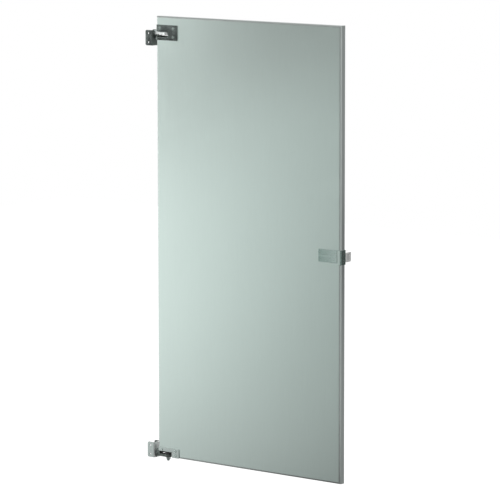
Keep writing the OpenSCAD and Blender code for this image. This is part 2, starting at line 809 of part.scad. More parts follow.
module ramp_pair(base) {
    ramp_half(0, base);
    ramp_half(180, base);
}

module lower_cam() {
    color(NYLON) {
        difference() {
            intersection() {
                translate([pivot_x, 0, lower_arm_z1 + cam_base]) ramp_pair(-cam_base);
                translate([pivot_x, 0, lower_arm_z1]) cylinder(h = cam_stack, r = cam_r);
            }
            translate([pivot_x, 0, 0]) cylinder(h = 2 * leaf_t, r = shoulder_r + running_fit);
        }
        cam_lugs(0, lower_arm_z1 - cam_lug_d, lower_arm_z1);
    }
}

module upper_cam() {
    color(NYLON) {
        difference() {
            translate([pivot_x, 0, lower_arm_z1 + cam_base])
                cylinder(h = cam_stack - cam_base, r = cam_r);
            translate([pivot_x, 0, lower_arm_z1 + cam_base + free_fit]) ramp_pair(-leaf_t);
            translate([pivot_x, 0, lower_arm_z1]) for (turn = [0, 180]) rotate([0, 0, turn])
                span([0, 0, 0], [2 * cam_r, cam_play, cam_stack - cam_base]);
            translate([pivot_x, 0, 0]) cylinder(h = 2 * leaf_t, r = shoulder_r + running_fit);
        }
        cam_lugs(0, notch_z1, notch_z1 + cam_lug_d);
    }
}

module lower_arm_bushing() {
    color(NYLON) translate([pivot_x, 0, lower_arm_z]) difference() {
        cylinder(h = arm_t, r = pin_r + running_fit + bushing_wall);
        translate([0, 0, -arm_t]) cylinder(h = 3 * arm_t, r = pin_r + running_fit);
    }
}

module lower_pilaster_bracket() {
    color(CHROME) difference() {
        translate([0, 0, lower_arm_z]) mirror([0, 0, 1]) bracket_blank();
        translate([pivot_x, 0, lower_arm_z - arm_t])
            cylinder(h = 3 * arm_t, r = pin_r + running_fit + bushing_wall + press_fit);
        cam_lugs(seam, lower_arm_z1 - cam_lug_d - seam, lower_arm_z1 + cam_lug_d);
    }
}

// The outline of the lower pin's key, grown by a margin
module key_outline(margin) {
    intersection() {
        circle(r = shoulder_r + margin);
        square([4 * shoulder_r, 2 * (key_half + margin)], center = true);
    }
}

module lower_pivot_pin() {
    thread_z0 = washer_z0 - nut_hex_h - nut_dome_r / 2;
    color(STEEL) translate([pivot_x, 0, 0]) {
        translate([0, 0, thread_z0]) cylinder(h = lower_arm_z - thread_z0, r = thread_r);
        translate([0, 0, lower_arm_z - free_fit / 2])
            cylinder(h = arm_t + 2 * free_fit, r = pin_r);
        difference() {
            translate([0, 0, lower_arm_z1 + free_fit])
                cylinder(h = key_z1 - lower_arm_z1 - free_fit, r = shoulder_r);
            for (side = [0, 1]) mirror([0, side, 0])
                span([-2 * shoulder_r, key_half, key_z0],
                     [2 * shoulder_r, 2 * shoulder_r, key_z1 + key_len]);
        }
    }
}

module lower_pivot_washer() {
    color(STEEL) translate([pivot_x, 0, washer_z0]) difference() {
        cylinder(h = washer_t, r = washer_r);
        translate([0, 0, -washer_t]) cylinder(h = 3 * washer_t, r = thread_r + seam);
    }
}

module lower_pivot_nut() {
    hex_z0 = washer_z0 - nut_hex_h;
    color(CHROME) translate([pivot_x, 0, 0]) difference() {
        union() {
            translate([0, 0, hex_z0]) cylinder(h = nut_hex_h, r = nut_flats / sqrt(3), $fn = 6);
            translate([0, 0, hex_z0 - seam]) sphere(r = nut_dome_r);
        }
        translate([0, 0, hex_z0 - nut_dome_r / 2 - seam])
            cylinder(h = 3 * nut_hex_h, r = thread_r + press_fit);
        translate([0, 0, washer_z0]) cylinder(h = nut_hex_h, r = nut_flats);
    }
}

module lower_door_casting() {
    color(CHROME) difference() {
        union() {
            casting_blank(0, lower_cast_z1, 0, lower_cast_z1 - casting_lap - casting_fit);
            span([pivot_x - boss_half_x, -boss_half_y, notch_z1],
                 [pivot_x + boss_half_x, boss_half_y, boss_z1]);
        }
        arm_room(leaf_x0 + arm_notch_depth, -leaf_t, notch_z1);
        span([0, -leaf_t, -leaf_t], [leaf_x0 + arm_notch_depth, leaf_t, lower_lip_z0]);
        translate([pivot_x, 0, notch_z1 - leaf_t])
            linear_extrude(height = leaf_t + socket_z1 - notch_z1) key_outline(running_fit);
        cam_lugs(seam, notch_z1 - cam_lug_d, notch_z1 + cam_lug_d + seam);
        casting_screw_holes(LOWER_SCREWS);
    }
}

// Two recessed bands with a rib between them, on the outer face of the outside plate
module plate_bands() {
    y0 = -half_t - plate_t;
    for (side = [-1, 1]) {
        z0 = plate_z + side * (band_rib / 2 + band_h / 2) - band_h / 2;
        span([case_x0 + band_margin, y0 - leaf_t, z0],
             [plate_x1 - band_margin, y0 + band_d, z0 + band_h]);
    }
}

module outside_latch_plate() {
    color(CHROME) difference() {
        union() {
            rotate([90, 0, 0]) translate([0, 0, half_t]) linear_extrude(height = plate_t)
                round_rect([case_x0, latch_z - latch_h / 2],
                           [plate_x1, latch_z + latch_h / 2 + plate_rise], latch_corner_r / 2);
            for (x = latch_screw_xs, side = [-1, 1])
                rod_y(x, latch_z + side * latch_screw_z, -half_t - plate_t / 4, post_y1, post_r);
        }
        plate_bands();
        for (x = latch_screw_xs, side = [-1, 1])
            rod_y(x, latch_z + side * latch_screw_z, -half_t + plate_t, leaf_t,
                  latch_screw_r + press_fit);
    }
}

// Straight bores along X for the guard's two screws
module guard_screw_bores(r) {
    for (side = [-1, 1])
        translate([leaf_x1 - edge_band - 4 * guard_t, 0, latch_z + side * guard_screw_z])
            rotate([0, 90, 0]) cylinder(h = edge_band + 8 * guard_t, r = r);
}

// The guard's countersinks, whose mouths lie on its outer face
module guard_heads(margin) {
    head_h = guard_head_r - guard_screw_r;
    for (side = [-1, 1])
        translate([leaf_x1 + guard_t - head_h, 0, latch_z + side * guard_screw_z])
            rotate([0, 90, 0])
                cylinder(h = head_h, r1 = guard_screw_r + margin, r2 = guard_head_r + margin);
}

module latch_edge_guard() {
    color(CHROME) difference() {
        translate([0, 0, latch_z - guard_h / 2]) linear_extrude(height = guard_h)
            difference() {
                union() {
                    round_rect([guard_x0, -half_t - guard_t],
                               [leaf_x1 + guard_t, half_t + guard_t], guard_corner_r);
                    translate([guard_x0, -half_t - guard_t])
                        square([guard_lap / 2 + crown_h / 2, leaf_t + 2 * guard_t]);
                }
                translate([guard_x0 - guard_lap, -half_t])
                    square([2 * guard_lap, leaf_t]);
            }
        guard_screw_bores(guard_screw_r + seam);
        guard_heads(seam);
    }
}

module edge_guard_screws() {
    tip_x = latch_channel_x1 - channel_t - guard_t;
    head_h = guard_head_r - guard_screw_r;
    color(CHROME) {
        guard_heads(0);
        for (side = [-1, 1]) translate([tip_x, 0, latch_z + side * guard_screw_z])
            rotate([0, 90, 0])
                cylinder(h = leaf_x1 + guard_t - head_h - tip_x + seam, r = guard_screw_r);
    }
}

// The outer form of case and cover together: a block whose outer edges are round
module latch_form() {
    intersection() {
        translate([0, cover_y1, 0]) rotate([90, 0, 0]) linear_extrude(height = case_d + cover_d)
            round_rect([case_x0, latch_z - latch_h / 2], [leaf_x1, latch_z + latch_h / 2],
                       latch_corner_r);
        translate([0, 0, latch_z - latch_h]) linear_extrude(height = 2 * latch_h)
            round_rect([case_x0, case_y0 - 2 * cover_edge_r], [leaf_x1, cover_y1], cover_edge_r);
        translate([case_x0 - latch_w, 0, 0]) rotate([90, 0, 90])
            linear_extrude(height = 3 * latch_w)
                round_rect([case_y0 - 2 * cover_edge_r, latch_z - latch_h / 2],
                           [cover_y1, latch_z + latch_h / 2], cover_edge_r);
    }
}

module latch_case() {
    spring_room = spring_len / 2 + spring_end_gap;
    color(ZINC) difference() {
        intersection() {
            latch_form();
            span([case_x0, case_y0, latch_z - latch_h], [leaf_x1, cover_y0, latch_z + latch_h]);
        }
        span([bolt_x0 - bolt_end_gap, bolt_y0 - slide_fit, latch_z - bolt_h / 2 - slide_fit],
             [leaf_x1 + latch_w, cover_y1, latch_z + bolt_h / 2 + slide_fit]);
        span([spring_x - spring_room, spring_y0, latch_z - spring_w / 2 - seam],
             [spring_x + spring_room, bolt_y1, latch_z + spring_w / 2 + seam]);
        span([guard_x0 - free_fit, 0, latch_z - latch_h],
             [leaf_x1 + latch_w, half_t + guard_t + seam, latch_z + latch_h]);
        for (x = latch_screw_xs, side = [-1, 1]) {
            rod_y(x, latch_z + side * latch_screw_z, 0, 2 * cover_y1, latch_screw_r + seam);
            rod_y(x, latch_z + side * latch_screw_z, cover_y0 - latch_head_h - seam, cover_y1,
                  latch_head_r + seam);
        }
        for (p = cover_screws)
            rod_y(p[0], latch_z + p[1], cover_y0 - cover_screw_len - seam, cover_y1,
                  latch_screw_r + press_fit);
    }
}

module latch_cover() {
    seat_y = cover_y1 - latch_head_h - head_sink;
    color(ZINC) difference() {
        intersection() {
            latch_form();
            span([case_x0, cover_y0, latch_z - latch_h], [leaf_x1, cover_y1, latch_z + latch_h]);
        }
        rotate([90, 0, 0]) translate([0, 0, -2 * cover_y1]) linear_extrude(height = 2 * cover_y1)
            round_rect([knob_x - stem_r - free_fit, latch_z - stem_r - free_fit],
                       [knob_x + bolt_travel + stem_r + free_fit, latch_z + stem_r + free_fit],
                       stem_r);
        for (p = cover_screws) {
            rod_y(p[0], latch_z + p[1], 0, 2 * cover_y1, latch_screw_r + seam);
            rod_y(p[0], latch_z + p[1], seat_y, 2 * cover_y1, latch_head_r + seam);
        }
    }
}

module latch_case_screws() {
    seat_y = cover_y0 - latch_head_h - seam;
    color(STEEL) for (x = latch_screw_xs, side = [-1, 1]) {
        rod_y(x, latch_z + side * latch_screw_z, seat_y, seat_y + latch_head_h, latch_head_r);
        rod_y(x, latch_z + side * latch_screw_z, -half_t + plate_t + seam, seat_y, latch_screw_r);
    }
}

module latch_cover_screws() {
    seat_y = cover_y1 - latch_head_h - head_sink;
    color(STEEL) for (p = cover_screws) {
        rod_y(p[0], latch_z + p[1], seat_y, seat_y + latch_head_h, latch_head_r);
        rod_y(p[0], latch_z + p[1], cover_y0 - cover_screw_len, seat_y, latch_screw_r);
    }
}

module latch_bolt() {
    z0 = latch_z - bolt_h / 2;
    z1 = latch_z + bolt_h / 2;
    color(CHROME) difference() {
        translate([0, bolt_y1, 0]) rotate([90, 0, 0]) linear_extrude(height = bolt_t) polygon([
            [bolt_x0, z0], [bolt_x1 - bolt_bevel, z0], [bolt_x1, z0 + bolt_bevel],
            [bolt_x1, z1 - bolt_bevel], [bolt_x1 - bolt_bevel, z1], [bolt_x0, z1]
        ]);
        rod_y(knob_x, latch_z, bolt_y1 - stem_seat - seam, 2 * cover_y1, stem_r + press_fit);
        rod_y(knob_x, latch_z, bolt_y0 - leaf_t, 2 * cover_y1, latch_screw_r + press_fit);
    }
}

module latch_knob() {
    head_y = grip_y1 - latch_head_h - head_sink;
    color(ZINC) difference() {
        union() {
            intersection() {
                translate([0, grip_y1, 0]) rotate([90, 0, 0]) linear_extrude(height = knob_d)
                    round_rect([knob_x - knob_w / 2, latch_z - knob_h / 2],
                               [knob_x + knob_w / 2, latch_z + knob_h / 2], knob_corner_r);
                translate([0, 0, latch_z - knob_h]) linear_extrude(height = 2 * knob_h)
                    round_rect([knob_x - knob_w / 2, grip_y0 - knob_d],
                               [knob_x + knob_w / 2, grip_y1], knob_corner_r);
            }
            rod_y(knob_x, latch_z, bolt_y1 - stem_seat, grip_y0 + seam, stem_r);
        }
        rod_y(knob_x, latch_z, 0, 2 * grip_y1, latch_screw_r + seam);
        rod_y(knob_x, latch_z, head_y, 2 * grip_y1, latch_head_r + seam);
    }
}

module latch_knob_screw() {
    head_y = grip_y1 - latch_head_h - head_sink;
    color(STEEL) {
        rod_y(knob_x, latch_z, head_y, head_y + latch_head_h, latch_head_r);
        rod_y(knob_x, latch_z, bolt_y0 + free_fit, head_y, latch_screw_r);
    }
}

// A bowed leaf that presses the bolt against its cover
module latch_spring() {
    bow_r = (spring_len * spring_len / 4 + spring_bow * spring_bow) / (2 * spring_bow);
    color(STEEL) intersection() {
        translate([spring_x, spring_y1 - bow_r, latch_z - spring_w / 2]) difference() {
            cylinder(h = spring_w, r = bow_r, $fn = wide_arc_fn);
            translate([0, 0, -spring_w])
                cylinder(h = 3 * spring_w, r = bow_r - spring_t, $fn = wide_arc_fn);
        }
        span([spring_x - spring_len / 2, spring_y0 + seam, latch_z - spring_w],
             [spring_x + spring_len / 2, bolt_y0, latch_z + spring_w]);
    }
}

front_face_sheet();
rear_face_sheet();
honeycomb_core();
top_edge_moulding();
bottom_edge_moulding();
hinge_edge_moulding();
hinge_edge_moulding_top();
latch_edge_moulding_upper();
latch_edge_moulding_lower();
upper_hinge_channel();
lower_hinge_channel();
latch_channel();
upper_door_casting();
upper_pivot_bushing();
upper_casting_screws();
upper_barrel_nuts();
upper_pilaster_bracket();
upper_pivot_pin();
lower_door_casting();
upper_cam();
lower_cam();
lower_arm_bushing();
lower_pivot_pin();
lower_pivot_washer();
lower_pivot_nut();
lower_casting_screws();
lower_barrel_nuts();
lower_pilaster_bracket();
outside_latch_plate();
latch_edge_guard();
edge_guard_screws();
latch_case();
latch_cover();
latch_case_screws();
latch_cover_screws();
latch_bolt();
latch_knob();
latch_knob_screw();
latch_spring();
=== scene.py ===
"""Toilet stall door: a satin steel leaf on two recessed pivot hinges, with a slide latch.

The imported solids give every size, place and motion. This script dresses them: it models the hinge
castings, brackets, screws and latch pieces in full, gives each surface its finish, and sets a plain
pale studio round the door. X runs from the hinge side to the latch, Y into the stall, Z up.
"""

import logging
import math
from contextlib import contextmanager
from dataclasses import dataclass, field
from enum import Enum
from typing import Callable, Iterator, Optional, Sequence, Union

import bmesh
import bpy
from mathutils import Matrix, Vector


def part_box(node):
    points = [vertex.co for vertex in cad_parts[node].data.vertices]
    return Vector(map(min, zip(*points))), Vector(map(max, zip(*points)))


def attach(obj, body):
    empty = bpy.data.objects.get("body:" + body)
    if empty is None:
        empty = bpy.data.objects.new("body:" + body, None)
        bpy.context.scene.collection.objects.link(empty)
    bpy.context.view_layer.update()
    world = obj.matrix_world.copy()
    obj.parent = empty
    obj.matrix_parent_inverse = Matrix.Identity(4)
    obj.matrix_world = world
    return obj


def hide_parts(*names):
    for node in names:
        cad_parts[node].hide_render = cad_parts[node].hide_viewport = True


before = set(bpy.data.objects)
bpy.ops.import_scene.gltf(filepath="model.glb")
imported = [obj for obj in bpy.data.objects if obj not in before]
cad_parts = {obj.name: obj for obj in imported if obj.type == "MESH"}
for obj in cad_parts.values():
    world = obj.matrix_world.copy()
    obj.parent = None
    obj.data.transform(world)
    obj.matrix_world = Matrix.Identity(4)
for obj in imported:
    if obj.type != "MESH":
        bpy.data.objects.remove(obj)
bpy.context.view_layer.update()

LOG = logging.getLogger("stall_door")
MM = 0.001
NEAR = 0.1 * MM  # this close to a plane counts as on it
PAST = 1.0 * MM  # cutters reach this far past a face
STRAIGHT = 0.9  # this much of a unit vector along an axis counts as along it
SHARP_DEG = 32.0  # a bend over this is rounded
SMOOTH_DEG = 38.0  # a bend under this is shaded smooth

X_AXIS = Vector((1, 0, 0))
Y_AXIS = Vector((0, 1, 0))
Z_AXIS = Vector((0, 0, 1))

Colour = tuple[float, float, float]
Number = Union[int, float]
Span = tuple[float, float]
WHITE: Colour = (1.0, 1.0, 1.0)


class Body(Enum):
    """The moving bodies of the door."""

    BRACKETS = "pilaster_brackets"
    PIVOT = "pivot"
    DOOR = "door"
    LATCH = "latch"


class Slot(Enum):
    """The record's material slots."""

    FACE = "leaf_face"
    EDGE = "leaf_edge"
    CASTING = "casting"
    LATCH = "latch_metal"
    SCREW = "screw_steel"
    HIDDEN = "hidden_steel"
    NYLON = "nylon"
    PAPER = "core_paper"


class Recess(Enum):
    """How a screw head is driven."""

    HEX_PIN = "hexagon socket round a pin"
    CROSS = "cross"


class Grain(Enum):
    """The direction in which a steel surface was brushed, as a stretch of its pattern."""

    ALONG_X = (0.02, 1.0, 1.0)
    ALONG_Z = (1.0, 1.0, 0.02)


def _operator(operation: str, swapped: bool = False) -> Callable[["Wire", "Value"], "Wire"]:
    """Makes an operator that adds one Math node.

    Args:
        operation: The node's operation.
        swapped: Whether the other value comes first.

    Returns:
        The method for the operator.
    """

    def method(wire: "Wire", other: "Value") -> "Wire":
        """Adds the node for a wire and another value."""
        return wire.graph.math(operation, *((other, wire) if swapped else (wire, other)))

    return method


class Wire:
    """One output of a shader node, on which Python's operators add Math nodes."""

    __add__, __radd__ = _operator("ADD"), _operator("ADD", True)
    __sub__, __rsub__ = _operator("SUBTRACT"), _operator("SUBTRACT", True)
    __mul__, __rmul__ = _operator("MULTIPLY"), _operator("MULTIPLY", True)

    def __init__(self, graph: "Graph", socket: bpy.types.NodeSocket) -> None:
        """Keeps the socket and the graph that it belongs to."""
        self.graph = graph
        self.socket = socket

    def between(self, low: Number, high: Number) -> "Wire":
        """This value spread so that low becomes 0 and high becomes 1, and kept inside them.

        Args:
            low: The value that becomes 0.
            high: The value that becomes 1.

        Returns:
            The spread value.
        """
        spread = {"Value": self, "From Min": low, "From Max": high}
        return self.graph.out("Result", "MapRange", spread, clamp=True)


Value = Union[Wire, Number]


class Graph:
    """The node tree of one material or of the world."""

    def __init__(self, owner: Union[bpy.types.Material, bpy.types.World]) -> None:
        """Clears the owner's nodes.

        Args:
            owner: The material or the world whose tree this is.
        """
        owner.use_nodes = True
        self.tree = owner.node_tree
        self.tree.nodes.clear()

    def add(self, kind: str, inputs: Optional[dict] = None, **settings: object) -> bpy.types.Node:
        """Adds a node, sets it up and then feeds its sockets.

        Args:
            kind: The node's type, without ShaderNode at its head.
            inputs: Numbers, colours, vectors or wires, by socket name or identifier.
            settings: The node's settings by name.

        Returns:
            The new node.
        """
        node = self.tree.nodes.new("ShaderNode" + kind)
        for key, value in settings.items():
            setattr(node, key, value)
        for key, value in (inputs or {}).items():
            self.feed(node, key, value)
        return node

    def feed(self, node: bpy.types.Node, key: str, value: object) -> None:
        """Links a wire to a socket, or sets the socket's own value.

        Args:
            node: The node whose socket is fed.
            key: The socket's name or identifier.
            value: A wire, or a number, colour or vector.
        """
        socket = next(s for s in node.inputs if s.enabled and key in (s.identifier, s.name))
        if isinstance(value, Wire):
            self.tree.links.new(value.socket, socket)
        elif isinstance(value, (tuple, list)) and socket.type == "RGBA":
            socket.default_value = (*value[:3], 1.0)
        else:
            socket.default_value = value

    def wire(self, node: bpy.types.Node, name: str) -> Wire:
        """The named output of a node."""
        fits = (s for s in node.outputs if s.enabled and name in (s.identifier, s.name))
        return Wire(self, next(fits))

    def out(self, name: str, kind: str, inputs: Optional[dict] = None, **settings: object) -> Wire:
        """The named output of a new node, which is described as in add."""
        return self.wire(self.add(kind, inputs, **settings), name)

    def math(self, operation: str, first: Value, second: Optional[Value] = None) -> Wire:
        """Adds one Math node.

        Args:
            operation: The node's operation.
            first: The first value.
            second: The second value, where the operation takes one.

        Returns:
            The result.
        """
        inputs = {"Value": first}
        if second is not None:
            inputs["Value_001"] = second
        return self.out("Value", "Math", inputs, operation=operation)

    def place(self, scale: Sequence[float] = (1, 1, 1), shift: Sequence[float] = (0, 0, 0)) -> Wire:
        """The point on the piece in metres, stretched and shifted.

        Args:
            scale: The stretch along each axis.
            shift: The shift along each axis.

        Returns:
            The point as a vector.
        """
        inputs = {
            "Vector": self.out("Object", "TexCoord"),
            "Scale": tuple(scale),
            "Location": tuple(shift),
        }
        return self.out("Vector", "Mapping", inputs)

    def level_place(self) -> tuple[Wire, Wire]:
        """The X and the Y of the point on the piece, in metres."""
        node = self.add("SeparateXYZ", {"Vector": self.place()})
        return self.wire(node, "X"), self.wire(node, "Y")

    def noise(
        self, point: Wire, scale: float, detail: float = 2.0, rough: float = 0.5, twist: float = 0.0
    ) -> Wire:
        """A soft random pattern.

        Args:
            point: Where it is read.
            scale: Its features in a metre.
            detail: How many finer layers it has.
            rough: How strong the finer layers are.
            twist: How far it is distorted.

        Returns:
            The pattern, about 0.5 on average.
        """
        inputs = {"Vector": point, "Scale": scale, "Detail": detail, "Roughness": rough}
        return self.out("Fac", "TexNoise", {**inputs, "Distortion": twist})

    def cells(
        self, point: Wire, scale: float, feature: str = "F1", output: str = "Distance"
    ) -> Wire:
        """A pattern of cells.

        Args:
            point: Where it is read.
            scale: Its cells in a metre.
            feature: What the cells measure.
            output: Which of the node's outputs is used.

        Returns:
            The pattern.
        """
        return self.out(output, "TexVoronoi", {"Vector": point, "Scale": scale}, feature=feature)

    def blend(self, share: Value, low: Union[Wire, Colour], high: Union[Wire, Colour]) -> Wire:
        """A colour between two colours.

        Args:
            share: How much of the second colour there is.
            low: The first colour.
            high: The second colour.

        Returns:
            The mixed colour.
        """
        return self.out("Result", "Mix", {"Factor": share, "A": low, "B": high}, data_type="RGBA")

    def bump(
        self, height: Wire, strength: float, depth: float, under: Optional[Wire] = None
    ) -> Wire:
        """A bumped normal.

        Args:
            height: The height pattern.
            strength: How strongly it shows.
            depth: The height of a whole step, in metres.
            under: A normal that is bumped already.

        Returns:
            The normal.
        """
        inputs = {"Height": height, "Strength": strength, "Distance": depth}
        if under is not None:
            inputs["Normal"] = under
        return self.out("Normal", "Bump", inputs)

    def glow(self, colour: Union[Wire, Colour], strength: Value) -> Wire:
        """A surface that shines by itself."""
        return self.out("Emission", "Emission", {"Color": colour, "Strength": strength})

    def end(self, surface: Wire, kind: str = "OutputMaterial") -> None:
        """Ends the tree in its output node."""
        self.add(kind, {"Surface": surface})

    def surface(self, **sockets: object) -> None:
        """Ends the tree in one Principled shader, its sockets given with _ for spaces."""
        inputs = {key.replace("_", " "): value for key, value in sockets.items()}
        self.end(self.out("BSDF", "BsdfPrincipled", inputs))


def shade(colour: Colour, factor: float) -> Colour:
    """A colour made darker or lighter.

    Args:
        colour: The colour.
        factor: What each of its parts is multiplied by.

    Returns:
        The new colour, no part over 1.
    """
    return tuple(min(1.0, part * factor) for part in colour)


@dataclass(frozen=True)
class Finish:
    """A surface finish: its name, its colour and its gloss."""

    name: str
    colour: Colour
    roughness: float

    def material(self) -> bpy.types.Material:
        """The finish as a material, made the first time that it is asked for.

        Returns:
            The material.
        """
        made = bpy.data.materials.get(self.name)
        if made is None:
            made = bpy.data.materials.new(self.name)
            self.weave(Graph(made))
        return made

    def weave(self, graph: Graph) -> None:
        """Builds the nodes of the finish in an empty tree."""
        raise NotImplementedError


@dataclass(frozen=True)
class BrushedSteel(Finish):
    """Stainless steel with a fine brushed grain, soft clouds and faint hand marks."""

    grain: Grain = Grain.ALONG_Z
    lines_per_metre: float = 1400.0
    grain_depth: float = 0.012 * MM
    grain_contrast: float = 0.035
    mark_contrast: float = 0.05

    def weave(self, graph: Graph) -> None:
        """Builds the brushed grain, the clouds and the marks.

        Args:
            graph: The empty tree.
        """
        point = graph.place(self.grain.value)
        fine = graph.noise(point, self.lines_per_metre, 3.0, 0.65)
        broad = graph.noise(point, self.lines_per_metre / 4, 2.0, 0.5)
        lines = fine * 0.75 + broad * 0.25
        clouds = graph.noise(graph.place(), 2.3, 2.0, 0.5)
        marks = graph.noise(graph.place(shift=(3, 5, 7)), 11.0, 4.0, 0.6, 0.8).between(0.56, 0.78)
        tone = lines.between(0.32, 0.68) * 0.7 + clouds.between(0.3, 0.7) * 0.3
        graph.surface(
            Base_Color=self.toned(graph, self.grained(graph, tone, self.colour), tone),
            Metallic=1.0,
            Roughness=self.roughness + (lines - 0.5) * 0.16 + marks * self.mark_contrast,
            Normal=graph.bump(lines, 0.35, self.grain_depth),
        )

    def grained(self, graph: Graph, tone: Wire, colour: Colour) -> Wire:
        """A colour with the grain's light and dark lines in it.

        Args:
            graph: The tree.
            tone: Where the grain is light and where it is dark.
            colour: The plain colour.

        Returns:
            The grained colour.
        """
        low = shade(colour, 1 - self.grain_contrast)
        high = shade(colour, 1 + self.grain_contrast)
        return graph.blend(tone, low, high)

    def toned(self, graph: Graph, base: Wire, tone: Wire) -> Wire:
        """The base colour with a later change of tone, which is none here."""
        return base


@dataclass(frozen=True)
class PaleEndSteel(BrushedSteel):
    """Brushed steel that grows paler along its length, towards the latch edge."""

    pale: Colour = (0.55, 0.64, 0.61)
    pale_from: float = 0.70
    pale_to: float = 0.77

    def toned(self, graph: Graph, base: Wire, tone: Wire) -> Wire:
        """The base colour, paler along X with a soft patchy border.

        Args:
            graph: The tree.
            base: The base colour.
            tone: Where the grain is light and where it is dark.

        Returns:
            The paler colour.
        """
        x, _ = graph.level_place()
        patches = graph.noise(graph.place(shift=(6, 2, 4)), 60.0, 3.0, 0.55) - 0.5
        lightened = (x + patches * 0.03).between(self.pale_from, self.pale_to)
        return graph.blend(lightened, base, self.grained(graph, tone, self.pale))


@dataclass(frozen=True)
class PlatedCasting(Finish):
    """Plated die-cast metal: a slight orange peel, fine pits, dull crevices and rubbed edges."""

    peel_per_metre: float = 240.0
    pits_per_metre: float = 700.0
    peel_depth: float = 0.02 * MM
    pit_depth: float = 0.03 * MM

    def weave(self, graph: Graph) -> None:
        """Builds the peel, the pits and the rubbed edges.

        Args:
            graph: The empty tree.
        """
        point = graph.place()
        peel = graph.noise(point, self.peel_per_metre, 2.0, 0.45)
        speck = graph.noise(point, self.pits_per_metre * 2, 3.0, 0.6)
        pits = 1 - graph.cells(point, self.pits_per_metre).between(0.05, 0.16)
        haze = graph.noise(graph.place(shift=(1, 2, 3)), 38.0, 3.0, 0.6).between(0.42, 0.75)
        ridges = graph.out("Pointiness", "NewGeometry").between(0.505, 0.56)
        dull = graph.blend(haze * 0.6 + speck * 0.2, self.colour, shade(self.colour, 0.86))
        peeled = graph.bump(peel, 0.5, self.peel_depth)
        graph.surface(
            Base_Color=graph.blend(ridges * 0.7, dull, shade(self.colour, 1.14)),
            Metallic=1.0,
            Roughness=self.roughness + speck * 0.06 + haze * 0.1 + pits * 0.1 - ridges * 0.04,
            Normal=graph.bump(pits * -1.0, 0.5, self.pit_depth, peeled),
        )


@dataclass(frozen=True)
class TurnedSteel(Finish):
    """Turned or headed steel: fine tool lines, a few scratches and a little grease."""

    lines_per_metre: float = 3200.0
    scratch_depth: float = 0.008 * MM

    def weave(self, graph: Graph) -> None:
        """Builds the tool lines, the scratches and the grease.

        Args:
            graph: The empty tree.
        """
        lines = graph.noise(graph.place((0.15, 0.15, 1)), self.lines_per_metre, 2.0, 0.6)
        scratches = graph.noise(graph.place((1, 0.05, 0.3)), 2100.0, 3.0, 0.7).between(0.6, 0.72)
        grease = graph.noise(graph.place(shift=(2, 0, 1)), 90.0, 3.0, 0.6).between(0.5, 0.75)
        tone = lines.between(0.3, 0.7) * 0.5 + scratches * 0.5
        toned = graph.blend(tone, shade(self.colour, 0.9), shade(self.colour, 1.12))
        graph.surface(
            Base_Color=graph.blend(grease * 0.4, toned, shade(self.colour, 0.62)),
            Metallic=1.0,
            Roughness=self.roughness + (lines - 0.5) * 0.12 + scratches * 0.1,
            Normal=graph.bump(lines - scratches * 0.6, 0.4, self.scratch_depth),
        )


@dataclass(frozen=True)
class MouldedNylon(Finish):
    """Moulded nylon: nearly matte, slightly mottled, rubbed grey where it works."""

    mottle_per_metre: float = 420.0
    skin_depth: float = 0.02 * MM

    def weave(self, graph: Graph) -> None:
        """Builds the mottle, the moulded skin and the rubbed grey.

        Args:
            graph: The empty tree.
        """
        point = graph.place()
        mottle = graph.noise(point, self.mottle_per_metre, 3.0, 0.55)
        skin = graph.noise(point, self.mottle_per_metre * 5, 2.0, 0.5)
        lightened = graph.noise(graph.place(shift=(4, 1, 2)), 120.0, 3.0, 0.6).between(0.5, 0.8)
        base = graph.blend(mottle, shade(self.colour, 0.94), shade(self.colour, 1.04))
        graph.surface(
            Base_Color=graph.blend(lightened * 0.35, base, shade(self.colour, 2.2)),
            Roughness=self.roughness + (mottle - 0.5) * 0.15,
            Normal=graph.bump(skin, 0.5, self.skin_depth),
        )


@dataclass(frozen=True)
class GalvanisedSteel(Finish):
    """Galvanised sheet with its spangle."""

    spangles_per_metre: float = 140.0

    def weave(self, graph: Graph) -> None:
        """Builds the spangle and a light bloom.

        Args:
            graph: The empty tree.
        """
        point = graph.place()
        spangle = graph.cells(point, self.spangles_per_metre, output="Color")
        grey = graph.out("Val", "RGBToBW", {"Color": spangle})
        bloom = graph.noise(point, 26.0, 4.0, 0.6).between(0.45, 0.75)
        base = graph.blend(grey, shade(self.colour, 0.78), shade(self.colour, 1.18))
        graph.surface(
            Base_Color=graph.blend(bloom * 0.4, base, (0.62, 0.63, 0.63)),
            Metallic=1.0 - bloom * 0.3,
            Roughness=self.roughness + (grey - 0.5) * 0.2 + bloom * 0.15,
            Normal=graph.bump(grey, 0.2, 0.01 * MM),
        )


@dataclass(frozen=True)
class KraftHoneycomb(Finish):
    """Brown kraft paper in hexagonal cells, seen on the cut faces of the core."""

    cells_per_metre: float = 70.0

    def weave(self, graph: Graph) -> None:
        """Builds the cell walls and the paper's fibres.

        Args:
            graph: The empty tree.
        """
        point = graph.place()
        edge = graph.cells(point, self.cells_per_metre, "DISTANCE_TO_EDGE")
        walls = 1 - edge.between(0.02, 0.07)
        fibres = graph.noise(graph.place((1, 1, 0.2)), 900.0, 4.0, 0.7)
        paper = graph.blend(fibres, shade(self.colour, 0.8), shade(self.colour, 1.2))
        graph.surface(
            Base_Color=graph.blend(walls, shade(self.colour, 0.35), paper),
            Roughness=self.roughness + (fibres - 0.5) * 0.1,
            Normal=graph.bump(walls + fibres * 0.1, 0.8, 0.4 * MM),
        )


LEAF_COLOUR: Colour = (0.547, 0.632, 0.6)
EDGE_COLOUR: Colour = (0.5, 0.545, 0.53)

